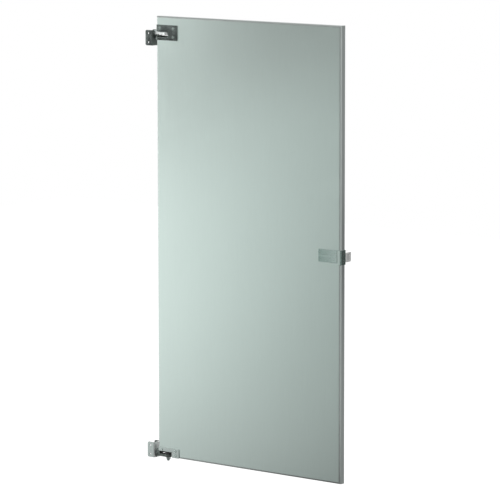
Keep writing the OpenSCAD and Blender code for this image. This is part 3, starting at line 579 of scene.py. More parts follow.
FACE_STEEL = BrushedSteel("face_steel", LEAF_COLOUR, 0.36)
SIDE_EDGE_STEEL = BrushedSteel("side_edge_steel", EDGE_COLOUR, 0.3, Grain.ALONG_Z)
LEVEL_EDGE_STEEL = BrushedSteel("level_edge_steel", EDGE_COLOUR, 0.3, Grain.ALONG_X)
# Painted shade: a dark copy of the steel for the latch edge guard's edge-facing walls.
SHADED_GUARD_STEEL = BrushedSteel("painted_shade_guard_steel", (0.27, 0.36, 0.33), 0.22, Grain.ALONG_Z, 2200.0)
PLATE_STEEL = PaleEndSteel("plate_steel", (0.42, 0.52, 0.485), 0.24, Grain.ALONG_X, 2200.0)
# Painted shade: a darker copy of the plate's steel for the floors of its recessed bands.
SHADED_BAND_STEEL = PaleEndSteel("painted_shade_band_steel", (0.37, 0.47, 0.435), 0.26, Grain.ALONG_X, 2600.0)
CHROME = PlatedCasting("chrome_casting", (0.575, 0.65, 0.625), 0.13)
SHADED_CHROME = PlatedCasting("shaded_chrome", (0.46, 0.52, 0.5), 0.13)
# Painted shade: a darker copy of the chrome for the upper bracket and the upper casting.
DEEP_SHADE_CHROME = PlatedCasting("painted_deep_shade_chrome", (0.37, 0.42, 0.405), 0.13)
# Painted light: a paler copy of the chrome for the highlight on the upper arm and for the lower
# bracket's web.
PAINTED_LIGHT_CHROME = PlatedCasting("painted_highlight_chrome", (0.78, 0.81, 0.8), 0.34)
# Painted shade: a dark dull copy of the chrome for faces in slots, notches and the brackets'
# insides, the upper web and the lower arm, where shade falls.
PAINTED_SHADE = PlatedCasting("painted_shade_metal", (0.13, 0.15, 0.14), 0.5, 110.0, 420.0, 0.06 * MM, 0.06 * MM)
SATIN_ZINC = PlatedCasting("satin_zinc", (0.78, 0.785, 0.775), 0.46)
SATIN_CHROME = PlatedCasting("satin_chrome", (0.7, 0.72, 0.71), 0.34)
SCREW_STEEL = TurnedSteel("screw_steel", (0.56, 0.58, 0.58), 0.2)
DARK_SCREW = TurnedSteel("dark_screw", (0.27, 0.32, 0.3), 0.3)
SPRING_STEEL = TurnedSteel("spring_steel", (0.35, 0.36, 0.38), 0.28)
BLACK_NYLON = MouldedNylon("black_nylon", (0.022, 0.024, 0.023), 0.45)
CHANNEL_STEEL = GalvanisedSteel("channel_steel", (0.45, 0.47, 0.48), 0.38)
CORE_PAPER = KraftHoneycomb("core_paper", (0.42, 0.29, 0.16), 0.85)


@contextmanager
def editing(thing: bpy.types.Object) -> Iterator[bmesh.types.BMesh]:
    """Opens one object in edit mode with nothing selected, and closes it again.

    Args:
        thing: The object.

    Yields:
        Its mesh, whose faces and edges can be selected before an operator runs.
    """
    select_only(thing)
    bpy.ops.object.mode_set(mode="EDIT")
    bpy.ops.mesh.select_all(action="DESELECT")
    mesh = bmesh.from_edit_mesh(thing.data)
    yield mesh
    bpy.ops.object.mode_set(mode="OBJECT")


def select_only(thing: bpy.types.Object) -> None:
    """Makes one object the only one selected, and active.

    Args:
        thing: The object.
    """
    bpy.ops.object.select_all(action="DESELECT")
    thing.select_set(True)
    bpy.context.view_layer.objects.active = thing


def level(direction: Vector) -> Vector:
    """The level part of a direction, with length 1."""
    return Vector((direction.x, direction.y, 0)).normalized()


Test = Callable[[Vector, Vector], bool]


def edges(along: str = "", **at: float) -> Test:
    """A test for edges, by their direction and the plane that they lie in.

    Args:
        along: The axis that they run along, if that counts.
        at: Where they lie on an axis, such as x=0.1.

    Returns:
        The test.
    """

    def fits(middle: Vector, direction: Vector) -> bool:
        """Whether one edge fits."""
        on_plane = all(abs(getattr(middle, axis) - place) < NEAR for axis, place in at.items())
        return on_plane and (not along or abs(getattr(direction, along)) > STRAIGHT)

    return fits


class Bench:
    """One piece on the bench: a primitive that is cut, joined and rounded until it is done."""

    def __init__(self, thing: bpy.types.Object) -> None:
        """Keeps the object that is worked on."""
        self.thing = thing

    @classmethod
    def block(cls, low: Vector, high: Vector) -> "Bench":
        """A block between two corners.

        Args:
            low: Its lowest corner.
            high: Its highest corner.

        Returns:
            The block on the bench.
        """
        bpy.ops.object.select_all(action="DESELECT")
        bpy.ops.mesh.primitive_cube_add(size=1, location=(low + high) / 2)
        made = cls(bpy.context.object)
        made.thing.scale = high - low
        return made.settle()

    @classmethod
    def span(cls, x: Span, y: Span, z: Span) -> "Bench":
        """A block between two places on each axis."""
        low, high = zip(x, y, z)
        return cls.block(Vector(low), Vector(high))

    @classmethod
    def rod(
        cls, start: Vector, end: Vector, radius: float, sides: int = 48, tip: float = -1
    ) -> "Bench":
        """A round or many-sided rod between two points.

        Args:
            start: The middle of its first end.
            end: The middle of its other end.
            radius: Its radius at the first end.
            sides: How many sides it has.
            tip: Its radius at the other end, if that differs.

        Returns:
            The rod on the bench.
        """
        along = end - start
        bpy.ops.object.select_all(action="DESELECT")
        bpy.ops.mesh.primitive_cone_add(
            vertices=sides,
            radius1=radius,
            radius2=radius if tip < 0 else tip,
            depth=along.length,
            location=(start + end) / 2,
            rotation=along.to_track_quat("Z", "Y").to_euler(),
        )
        return cls(bpy.context.object).settle()

    @classmethod
    def upright(cls, x: float, z: Span, radius: float, sides: int = 48) -> "Bench":
        """A rod that stands upright in the plane y = 0."""
        return cls.rod(Vector((x, 0, z[0])), Vector((x, 0, z[1])), radius, sides)

    @classmethod
    def ball(cls, centre: Vector, radius: float) -> "Bench":
        """A ball, whose poles point up and down.

        Args:
            centre: Its middle.
            radius: Its radius.

        Returns:
            The ball on the bench.
        """
        bpy.ops.object.select_all(action="DESELECT")
        bpy.ops.mesh.primitive_uv_sphere_add(
            segments=32, ring_count=16, radius=radius, location=centre
        )
        return cls(bpy.context.object).settle()

    @classmethod
    def from_node(cls, node: str) -> "Bench":
        """A copy of a CAD node, its loose triangles merged and its flat faces made whole.

        Args:
            node: The node's name.

        Returns:
            The copy on the bench.
        """
        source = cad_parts[node]
        thing = bpy.data.objects.new(node + "_copy", source.data.copy())
        bpy.context.scene.collection.objects.link(thing)
        thing.data.materials.clear()
        return cls(thing).heal(0.2)

    def settle(self) -> "Bench":
        """Applies the object's place, turn and scale to its mesh.

        Returns:
            The piece.
        """
        select_only(self.thing)
        bpy.ops.object.transform_apply(location=True, rotation=True, scale=True)
        return self

    def heal(self, angle_deg: float = 0.5) -> "Bench":
        """Merges doubled points and makes flat stretches single faces.

        Args:
            angle_deg: The largest bend that still counts as flat, in degrees.

        Returns:
            The piece.
        """
        with editing(self.thing):
            bpy.ops.mesh.select_all(action="SELECT")
            bpy.ops.mesh.remove_doubles(threshold=0.002 * MM)
            bpy.ops.mesh.dissolve_limited(angle_limit=math.radians(angle_deg))
            bpy.ops.mesh.normals_make_consistent(inside=False)
        return self

    def _apply(self, kind: str, **settings: object) -> None:
        """Adds a modifier and applies it.

        Args:
            kind: The modifier's type.
            settings: Its settings by name.
        """
        modifier = self.thing.modifiers.new(kind.lower(), kind)
        for key, value in settings.items():
            setattr(modifier, key, value)
        select_only(self.thing)
        bpy.ops.object.modifier_apply(modifier=modifier.name)

    def round_edges(self, test: Test, radius: float, segments: int = 5) -> "Bench":
        """Rounds some edges in edit mode.

        Args:
            test: Which edges, by their middle and direction.
            radius: How far the round reaches.
            segments: How many strips it has.

        Returns:
            The piece.
        """
        with editing(self.thing) as mesh:
            bpy.ops.mesh.select_mode(type="EDGE")
            for edge in mesh.edges:
                first, last = (vert.co for vert in edge.verts)
                edge.select_set(test((first + last) / 2, (last - first).normalized()))
            bmesh.update_edit_mesh(self.thing.data)
            bpy.ops.mesh.bevel(offset=radius, segments=segments, affect="EDGES", clamp_overlap=True)
        return self

    def move_points(self, test: Callable[[Vector], bool], shift: Vector) -> "Bench":
        """Moves the points that pass a test.

        Args:
            test: Which points, by their place.
            shift: How far they move.

        Returns:
            The piece.
        """
        with editing(self.thing) as mesh:
            bpy.ops.mesh.select_mode(type="VERT")
            for vert in mesh.verts:
                vert.select_set(test(vert.co))
            bmesh.update_edit_mesh(self.thing.data)
            bpy.ops.transform.translate(value=shift)
        return self

    def _combine(self, tools: Sequence["Bench"], operation: str) -> "Bench":
        """Runs one Boolean modifier per tool, and clears the tools away.

        Args:
            tools: The tools.
            operation: What the modifier does with them.

        Returns:
            The piece.
        """
        for tool in tools:
            self._apply("BOOLEAN", operation=operation, solver="EXACT", object=tool.thing)
            tool.scrap()
        return self

    def cut(self, *tools: "Bench") -> "Bench":
        """Cuts the tools out of the piece."""
        return self._combine(tools, "DIFFERENCE")

    def join(self, *tools: "Bench") -> "Bench":
        """Makes the tools part of the piece."""
        return self._combine(tools, "UNION")

    def keep(self, *tools: "Bench") -> "Bench":
        """Keeps only what the piece shares with each tool."""
        return self._combine(tools, "INTERSECT")

    def soften(self, radius: float, segments: int = 2, clamp: bool = True) -> "Bench":
        """Rounds every sharp edge a little, and clears the faces that this leaves without area.

        Args:
            radius: How far the rounds reach.
            segments: How many strips they have.
            clamp: Whether the shortest edge may shrink all rounds, so that none overlap.

        Returns:
            The piece.
        """
        self.heal()
        angle = math.radians(SHARP_DEG)
        shape = {"width": radius, "segments": segments, "use_clamp_overlap": clamp}
        self._apply("BEVEL", limit_method="ANGLE", angle_limit=angle, **shape)
        with editing(self.thing):
            bpy.ops.mesh.select_all(action="SELECT")
            bpy.ops.mesh.dissolve_degenerate(threshold=0.001 * MM)
        return self

    def copy(self, matrix: Matrix) -> "Bench":
        """A copy with its own mesh, turned and moved.

        Args:
            matrix: How it is turned and moved.

        Returns:
            The copy on the bench.
        """
        thing = bpy.data.objects.new("copy", self.thing.data.copy())
        bpy.context.scene.collection.objects.link(thing)
        thing.matrix_world = matrix
        return Bench(thing).settle()

    def scrap(self) -> None:
        """Clears the piece away, as a tool or a pattern that has served."""
        bpy.data.meshes.remove(self.thing.data)

    def done(
        self,
        name: str,
        body: Body,
        slot: Slot,
        finish: Finish,
        *nodes: str,
        accents: Sequence[tuple[Test, Finish]] = (),
    ) -> bpy.types.Object:
        """Smooths and dresses the piece, and hangs it on its body.

        Args:
            name: The piece's name.
            body: The body that carries it.
            slot: The record's slot for its finish; not used.
            finish: Its finish.
            nodes: The CAD nodes that it stands for.
            accents: Finishes of some faces, each with a test of a face's middle and normal.

        Returns:
            The finished object.
        """
        thing = self.thing
        thing.name = thing.data.name = name
        select_only(thing)
        bpy.ops.object.shade_smooth_by_angle(angle=math.radians(SMOOTH_DEG))
        self._apply("WEIGHTED_NORMAL", keep_sharp=True)
        thing.data.materials.clear()
        thing.data.materials.append(finish.material())
        for number, (test, accent) in enumerate(accents, 1):
            thing.data.materials.append(accent.material())
            for face in thing.data.polygons:
                if test(face.center, face.normal):
                    face.material_index = number
        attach(thing, body.value)
        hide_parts(*nodes)
        LOG.info("modelled %s: %d faces", name, len(thing.data.polygons))
        return thing


def dress(node: str, finish: Finish) -> None:
    """Gives a CAD node that is shown as it is its finish.

    Args:
        node: The node's name.
        finish: The finish.
    """
    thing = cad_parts[node]
    thing.data.materials.clear()
    thing.data.materials.append(finish.material())
    LOG.info("dressed %s", node)


def soften_node(node: str, body: Body, slot: Slot, finish: Finish, radius: float) -> None:
    """Shows a CAD node with its edges broken, as a maker leaves them.

    Args:
        node: The node's name.
        body: The body that carries it.
        slot: The record's slot for it.
        finish: Its finish.
        radius: How far its edges are rounded.
    """
    Bench.from_node(node).soften(radius).done(node + "_shown", body, slot, finish, node)


@dataclass
class Leaf:
    """The hollow door leaf: face sheets, rolled edge mouldings, channels and core."""

    pieces: tuple[tuple[tuple[str, ...], Slot, Finish], ...] = (
        (("front_face_sheet", "rear_face_sheet"), Slot.FACE, FACE_STEEL),
        (("top_edge_moulding", "bottom_edge_moulding"), Slot.EDGE, LEVEL_EDGE_STEEL),
        (
            (
                "hinge_edge_moulding",
                "hinge_edge_moulding_top",
                "latch_edge_moulding_upper",
                "latch_edge_moulding_lower",
            ),
            Slot.EDGE,
            SIDE_EDGE_STEEL,
        ),
        (
            ("upper_hinge_channel", "lower_hinge_channel", "latch_channel"),
            Slot.HIDDEN,
            CHANNEL_STEEL,
        ),
        (("honeycomb_core",), Slot.PAPER, CORE_PAPER),
    )

    def build(self) -> None:
        """Dresses all pieces of the leaf."""
        for nodes, slot, finish in self.pieces:
            for node in nodes:
                dress(node, finish)


@dataclass
class ScrewPattern:
    """A screw or barrel nut, modelled once with its head at the origin and its shank along +Z."""

    head_radius: float
    head_height: float
    shank_radius: float
    length: float
    recess: Recess
    countersunk: bool = False
    socket_radius: float = 2.1 * MM
    socket_depth: float = 1.3 * MM
    pin_radius: float = 0.55 * MM
    rim: float = 1.1 * MM
    blade: float = 0.28
    overlap: float = 0.3 * MM
    softness: float = 0.15 * MM
    spin_deg: float = 37.0

    def head(self) -> Bench:
        """The bare head, from z = -head_height to z = 0.

        Returns:
            The head on the bench.
        """
        top = -self.head_height * Z_AXIS
        if self.countersunk:
            return Bench.rod(top, Vector(), self.head_radius, 48, self.shank_radius)
        head = Bench.rod(top, Vector(), self.head_radius)
        return head.round_edges(edges(z=-self.head_height), self.rim, 4)

    def socket(self) -> list[Bench]:
        """The tools that cut the drive out of the head.

        Returns:
            One tool, or the two arms of a cross.
        """
        low = -(self.head_height + PAST)
        floor = self.socket_depth - self.head_height
        if self.recess is Recess.HEX_PIN:
            cutter = Bench.rod(low * Z_AXIS, floor * Z_AXIS, self.socket_radius, 6)
            pin = Bench.rod(2 * low * Z_AXIS, 2 * PAST * Z_AXIS, self.pin_radius, 16)
            return [cutter.cut(pin)]
        reach, blade = self.socket_radius, self.socket_radius * self.blade
        wide, thin, deep = (-reach, reach), (-blade, blade), (low, floor)
        return [Bench.span(wide, thin, deep), Bench.span(thin, wide, deep)]

    def model(self) -> Bench:
        """The whole screw on the bench.

        Returns:
            The pattern piece that is then copied to every place.
        """
        screw = self.head()
        screw.cut(*self.socket())
        start, end = -self.overlap * Z_AXIS, self.length * Z_AXIS
        shank = Bench.rod(start, end, self.shank_radius, 32)
        return screw.join(shank).soften(self.softness)

    def place(
        self,
        name: str,
        node: str,
        body: Body,
        slot: Slot,
        finish: Finish,
        seats: Sequence[Vector],
        direction: Vector,
    ) -> None:
        """Copies the screw to its seats, each turned a little differently.

        Args:
            name: The copies' name, to which a number is added.
            node: The CAD node that they stand for.
            body: The body that carries them.
            slot: The record's slot for them.
            finish: Their finish.
            seats: Where the underside of each head sits.
            direction: Which way the shanks point.
        """
        pattern = self.model()
        turn = direction.to_track_quat("Z", "Y").to_matrix().to_4x4()
        for count, seat in enumerate(seats, 1):
            spin = Matrix.Rotation(math.radians(self.spin_deg * count), 4, "Z")
            copy = pattern.copy(Matrix.Translation(seat) @ turn @ spin)
            copy.done(f"{name}_{count}", body, slot, finish, node)
        pattern.scrap()


@dataclass
class Brackets:
    """The two cast brackets that wrap the pilaster's edge, each with its pivot arm."""

    flange: float = 3.0 * MM
    web: float = 4.0 * MM
    corner: float = 3.0 * MM
    face_corner: float = 5.0 * MM
    margin: float = 5.2 * MM
    arm: float = 9.0 * MM
    arm_width: float = 18.0 * MM
    arch: float = 2.0 * MM
    hub: float = 11.5 * MM
    root: float = 12.1 * MM
    rib: float = 5.0 * MM
    rib_height: float = 16.0 * MM
    pitch: float = 30.0 * MM
    hole: float = 2.7 * MM
    pin_head: float = 7.1 * MM
    pin_sink: float = 2.6 * MM
    upper_bore: float = 4.77 * MM
    lower_bore: float = 6.57 * MM
    rib_sink: float = 0.5 * MM
    web_sink: float = 0.2 * MM
    rib_edge: float = 0.05 * MM
    softness: float = 0.7 * MM
    pivot: float = field(init=False)

    def __post_init__(self) -> None:
        """Takes the pivot's place from the pin."""
        low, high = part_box("upper_pivot_pin")
        self.pivot = (low.x + high.x) / 2

    def section(self, low: Vector, high: Vector) -> Bench:
        """The U section that wraps the pilaster.

        Args:
            low: The lowest corner of the U.
            high: Its highest corner.

        Returns:
            The U on the bench.
        """
        made = Bench.block(low, high)
        made.round_edges(edges("z", x=high.x), self.corner, 6)
        made.round_edges(edges("y", x=low.x), self.face_corner, 6)
        room = (low.y + self.flange, high.y - self.flange)
        made.cut(Bench.span((low.x - PAST, 0), room, (low.z - PAST, high.z + PAST)))
        middle = (low.z + high.z) / 2
        for side in (-1, 1):
            for y in (low.y, high.y):
                mouth = Vector((low.x / 2, y, middle + side * self.pitch / 2))
                inward = Vector((0, -math.copysign(1, y), 0))
                start, end = mouth - inward * PAST, mouth + inward * 2 * self.flange
                made.cut(Bench.rod(start, end, self.hole, 32))
        return made

    def arm_with_hub(self, face: float, up: float) -> Bench:
        """The arm with its round hub. The upper bracket's arm is arched along its underside.

        Args:
            face: The height of the arm's outer face, which is nearer the bracket's end.
            up: 1 where that face looks up, and -1 where it looks down.

        Returns:
            The arm on the bench.
        """
        low, high = sorted((face, face - up * self.arm))
        half = self.arm_width / 2
        arm = Bench.span((self.web / 2, self.pivot), (-half, half), (low, high))
        arm.join(Bench.upright(self.pivot, (low, high), self.hub, 64))
        if up < 0:
            return arm
        reach = (self.pivot - self.hub - self.root) / 2
        radius = (reach * reach + self.arch * self.arch) / (2 * self.arch)
        centre = Vector((self.root + reach, 0, low + self.arch - radius))
        arm.cut(Bench.rod(centre - Y_AXIS * 3 * half, centre + Y_AXIS * 3 * half, radius, 160))
        return arm

    def wedge(self, half: float, foot: float, height: float, out: float) -> Bench:
        """A wedge that braces the arm's root and thins out along the arm.

        Args:
            half: Half its width.
            foot: The height of the arm's face that it stands on.
            height: How far it stands out at the web.
            out: 1 where it stands up, and -1 where it hangs down.

        Returns:
            The wedge on the bench.
        """
        low, high = sorted((foot - out * self.rib_sink, foot + out * height))
        made = Bench.span((self.web - self.web_sink, self.root), (-half, half), (low, high))
        tip = high if out > 0 else low
        return made.move_points(
            lambda p: p.x > self.root - NEAR and abs(p.z - tip) < NEAR,
            Vector((0, 0, -out * (height - self.rib_edge))),
        )

    def inside(self, place: Vector, normal: Vector) -> bool:
        """Whether a face lies inside the U, against the pilaster, or in one of its screw holes.

        Args:
            place: The face's middle.
            normal: Its normal.

        Returns:
            True where it does.
        """
        _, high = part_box("upper_pilaster_bracket")
        depth, wall = abs(place.y), high.y - self.flange
        between = depth <= wall + NEAR or depth > wall - NEAR and abs(normal.y) < STRAIGHT
        return place.x < NEAR and depth < high.y - 2 * NEAR and between

    def on_web(self, place: Vector, normal: Vector) -> bool:
        """Whether a face lies on the web's outer side, which looks at the leaf's edge."""
        return place.x < self.web + 2 * NEAR and normal.x > 0.6

    def on_arm(self, place: Vector, normal: Vector) -> bool:
        """Whether a face lies on the arm, past the ribs at its root."""
        return place.x > self.root

    def bracket(self, node: str, up: float, bore: float) -> Bench:
        """One whole bracket.

        Args:
            node: The CAD node that gives its place.
            up: 1 for the upper bracket, and -1 for the lower, which is its mirror image.
            bore: The radius of the hole through its hub.

        Returns:
            The bracket on the bench.
        """
        low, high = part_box(node)
        made = self.section(low, Vector((self.web, high.y, high.z)))
        face = high.z - self.margin if up > 0 else low.z + self.margin
        made.join(
            self.arm_with_hub(face, up),
            self.wedge(self.arm_width / 2, face, self.margin, up),
            self.wedge(self.rib / 2, face - up * self.arm, self.rib_height, -up),
        )
        reach = (face - 2 * self.arm, face + 2 * self.arm)
        return made.cut(Bench.upright(self.pivot, reach, bore))

    def build(self) -> None:
        """Models both brackets and the pieces fixed in their arms."""
        pin_low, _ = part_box("upper_pivot_pin")
        seat = Vector((self.pivot, 0, pin_low.z))
        # Each bracket's finishes hold painted light and shade: the upper one is a deep
        # painted-shade chrome with a painted-shade web and a painted highlight on its arm; the
        # lower one is a painted-shade chrome with a painted-light web and a painted-shade arm.
        for which, up, bore, finish, web, arm in (
            ("upper", 1, self.upper_bore, DEEP_SHADE_CHROME, PAINTED_SHADE, PAINTED_LIGHT_CHROME),
            ("lower", -1, self.lower_bore, SHADED_CHROME, PAINTED_LIGHT_CHROME, PAINTED_SHADE),
        ):
            node = f"{which}_pilaster_bracket"
            made = self.bracket(node, up, bore)
            if up > 0:
                start, end = seat - self.arm * Z_AXIS, seat + self.pin_sink * Z_AXIS
                made.cut(Bench.rod(start, end, self.pin_head))
            made.soften(self.softness, 3, clamp=False)
            # Painted shade on the faces inside the U and in its screw holes.
            accents = ((self.inside, PAINTED_SHADE), (self.on_web, web), (self.on_arm, arm))
            made.done(
                f"{which}_bracket", Body.BRACKETS, Slot.CASTING, finish, node, accents=accents
            )
        soften_node("upper_pivot_pin", Body.BRACKETS, Slot.SCREW, SCREW_STEEL, 0.4 * MM)
        dress("lower_cam", BLACK_NYLON)
        soften_node("lower_arm_bushing", Body.BRACKETS, Slot.NYLON, BLACK_NYLON, 0.2 * MM)


@dataclass
class DoorCastings:
    """The two castings that fill the leaf's cut-outs, with their screws and barrel nuts."""

    flange: float = 2.0 * MM
    lap: float = 3.3 * MM
    corner: float = 4.0 * MM
    face_corner: float = 3.0 * MM
    wall: float = 3.0 * MM
    wall_front: float = -9.0 * MM
    sill: float = 7.4 * MM
    notch_depth: float = 60.0 * MM
    slot_past_pivot: float = 17.9 * MM
    slot_height: float = 19.3 * MM
    slot_lip: float = 5.0 * MM
    notch_lip: float = 7.3 * MM
    bushing_flange: float = 1.0 * MM
    sleeve: float = 6.57 * MM
    sleeve_length: float = 12.1 * MM
    head_radius: float = 4.8 * MM
    head_height: float = 2.0 * MM
    screw_radius: float = 2.5 * MM
    screw_length: float = 27.4 * MM
    screw_rim: float = 0.45 * MM
    barrel_radius: float = 3.4 * MM
    boss: tuple[float, float] = (10.35 * MM, 10.1 * MM)
    socket_radius: float = 6.4 * MM
    socket_roof: float = 4.0 * MM
    cam_seat: float = 2.0 * MM
    moulding_gap: float = 0.1 * MM
    softness: float = 0.6 * MM
    pivot: float = field(init=False)

    def __post_init__(self) -> None:
        """Takes the pivot's place from the upper bushing."""
        low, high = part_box("upper_pivot_bushing")
        self.pivot = (low.x + high.x) / 2

    def blank(self, low: Vector, high: Vector, floor: bool) -> Bench:
        """A block with a flange on each face of the leaf.

        Args:
            low: Its lowest corner.
            high: Its highest corner.
            floor: Whether the flanges also stand out below the block.

        Returns:
            The blank on the bench.
        """
        made = Bench.block(low, high)
        made.round_edges(edges("z", x=low.x), self.corner, 6)
        made.round_edges(edges("y", x=high.x), self.face_corner, 5)
        inner = (low.y + self.flange, high.y - self.flange)
        wide, tall = (low.x - PAST, high.x + PAST), (low.z - PAST, high.z + PAST)
        rooms = [
            Bench.span((high.x - self.lap, high.x + PAST), inner, tall),
            Bench.span(wide, inner, (high.z - self.lap, high.z + PAST)),
        ]
        if floor:
            rooms.append(Bench.span(wide, inner, (low.z - PAST, low.z + self.lap)))
        return made.cut(*rooms)

    def cut_room(self, made: Bench, low: Vector, high: Vector, end: float, height: Span) -> Test:
        """Cuts the room for an arm, open to the front and walled at the hinge edge.

        Args:
            made: The blank.
            low: The casting's lowest corner.
            high: Its highest corner.
            end: Where the room ends inside the leaf.
            height: The room's lowest and highest height.

        Returns:
            A test for the faces that line the room.
        """
        rear, front = high.y - self.flange, low.y - PAST
        made.cut(
            Bench.span((low.x + self.wall, end), (front, rear), height),
            Bench.span((low.x - PAST, end), (front, self.wall_front), height),
        )
        _, upper_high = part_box("upper_door_casting")
        depth = upper_high.y - self.softness - NEAR

        def lines(place: Vector, normal: Vector) -> bool:
            """Whether a face lines the room."""
            inner = abs(place.y) < depth and place.x < end + NEAR
            return inner and height[0] - NEAR < place.z < height[1] + NEAR

        return lines

    def seats(self, node: str) -> list[Vector]:
        """The screws' places, as the middle of each head at y = 0.

        Args:
            node: The screws' node.

        Returns:
            The three places.
        """
        low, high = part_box(node)
        radius = self.head_radius
        near, far = low.x + radius, high.x - radius
        bottom, top = low.z + radius, high.z - radius
        return [Vector((near, 0, top)), Vector((far, 0, top)), Vector((far, 0, bottom))]

    def holes(self, places: Sequence[Vector]) -> list[Bench]:
        """The cutters for the screw holes."""
        reach = 20 * MM * Y_AXIS
        return [Bench.rod(p - reach, p + reach, self.barrel_radius + 0.1 * MM, 32) for p in places]

    def fasten(self, which: str) -> None:
        """Places the screws from the front and the barrel nuts from the rear.

        Args:
            which: upper or lower.
        """
        low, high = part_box(f"{which}_door_casting")
        places = self.seats(f"{which}_casting_screws")
        for node, name, radius, y, direction in (
            ("casting_screws", "screw", self.screw_radius, low.y, Y_AXIS),
            ("barrel_nuts", "nut", self.barrel_radius, high.y, -Y_AXIS),
        ):
            length, rim = self.screw_length, self.screw_rim
            pattern = ScrewPattern(
                self.head_radius, self.head_height, radius, length, Recess.HEX_PIN, rim=rim
            )
            heads = [Vector((p.x, y, p.z)) for p in places]
            node, name = f"{which}_{node}", f"{which}_{name}"
            pattern.place(name, node, Body.DOOR, Slot.CASTING, CHROME, heads, direction)

    def upper(self) -> tuple[Bench, Test]:
        """Models the upper casting, with its arm slot and its bushing's bore.

        Returns:
            The casting on the bench, and a test for the faces that line its slot.
        """
        low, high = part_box("upper_door_casting")
        bush_low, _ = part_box("upper_pivot_bushing")
        top = bush_low.z + self.bushing_flange
        bottom = top - self.slot_height
        end = self.pivot + self.slot_past_pivot
        made = self.blank(low, high, True)
        lining = self.cut_room(made, low, high, end, (bottom, top))
        rear, way = high.y - self.flange, (low.x - PAST, end)
        made.cut(
            Bench.span(way, (low.y - PAST, rear), (bottom + self.sill, top)),
            Bench.span(way, (rear, high.y + PAST), (bottom + self.slot_lip, top)),
            Bench.upright(self.pivot, (top - PAST, top + self.sleeve_length), self.sleeve),
        )
        return made, lining

    def lower(self) -> tuple[Bench, Test]:
        """Models the lower casting, with its notch and the boss round the pin's socket.

        Returns:
            The casting on the bench, and a test for the faces that line its notch.
        """
        low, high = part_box("lower_door_casting")
        _, cam_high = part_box("upper_cam")
        sheet_low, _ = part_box("hinge_edge_moulding")
        top = cam_high.z - self.cam_seat
        end = low.x + self.notch_depth
        under_sheet = Vector((high.x, high.y, sheet_low.z - self.moulding_gap))
        made = self.blank(low, under_sheet, False)
        wide, deep = self.boss
        boss = Bench.span((self.pivot - wide, self.pivot + wide), (-deep, deep), (top, high.z))
        deep_hole = (top - PAST, high.z - self.socket_roof)
        socket = Bench.upright(self.pivot, deep_hole, self.socket_radius)
        arm_way = Bench.span(
            (low.x - PAST, end),
            (low.y - PAST, high.y + PAST),
            (low.z - PAST, low.z + self.notch_lip),
        )
        lining = self.cut_room(made, low, high, end, (low.z - PAST, top))
        return made.cut(arm_way).join(boss).cut(socket), lining

    def build(self) -> None:
        """Models both castings and what is fixed in them."""
        # The upper casting takes the darker painted-shade copy of the chrome, and the lower one the
        # shaded chrome.
        for which, model, finish in (
            ("upper", self.upper, DEEP_SHADE_CHROME),
            ("lower", self.lower, SHADED_CHROME),
        ):
            made, lining = model()
            made.cut(*self.holes(self.seats(f"{which}_casting_screws")))
            made.soften(self.softness, 3, clamp=False)
            name, node = f"{which}_casting", f"{which}_door_casting"
            # Painted shade on the faces that line the arm's room.
            accents = ((lining, PAINTED_SHADE),)
            made.done(name, Body.DOOR, Slot.CASTING, finish, node, accents=accents)
        for which in ("upper", "lower"):
            self.fasten(which)
        soften_node("upper_pivot_bushing", Body.DOOR, Slot.NYLON, BLACK_NYLON, 0.2 * MM)
        dress("upper_cam", BLACK_NYLON)


@dataclass
class LowerPivot:
    """The pin that turns with the door, with its washer and dome nut."""

    flats: float = 13.0 * MM
    dome: float = 5.5 * MM
    hexagon: float = 6.5 * MM
    turned_off: float = 0.9
    turned_foot: float = 1.3
    dome_sink: float = 0.1 * MM
    bore: float = 4.02 * MM

    def nut(self) -> None:
        """Models the dome nut, its hexagon's corners turned away."""
        low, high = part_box("lower_pivot_nut")
        middle = (low + high) / 2
        top = Vector((middle.x, middle.y, high.z))
        foot = top - self.hexagon * Z_AXIS
        radius = self.flats / math.sqrt(3)
        made = Bench.rod(foot, top, radius, 6)
        made.keep(Bench.rod(foot, top, radius * self.turned_off, 48, radius * self.turned_foot))
        made.join(Bench.ball(foot - self.dome_sink * Z_AXIS, self.dome))
        made.cut(Bench.rod(foot, top + PAST * Z_AXIS, self.bore, 32))
        made.soften(0.3 * MM)
        made.done("dome_nut", Body.PIVOT, Slot.CASTING, CHROME, "lower_pivot_nut")

    def build(self) -> None:
        """Models the nut, and breaks the edges of the pin and the washer."""
        self.nut()
        soften_node("lower_pivot_pin", Body.PIVOT, Slot.SCREW, SCREW_STEEL, 0.3 * MM)
        soften_node("lower_pivot_washer", Body.PIVOT, Slot.SCREW, SCREW_STEEL, 0.25 * MM)


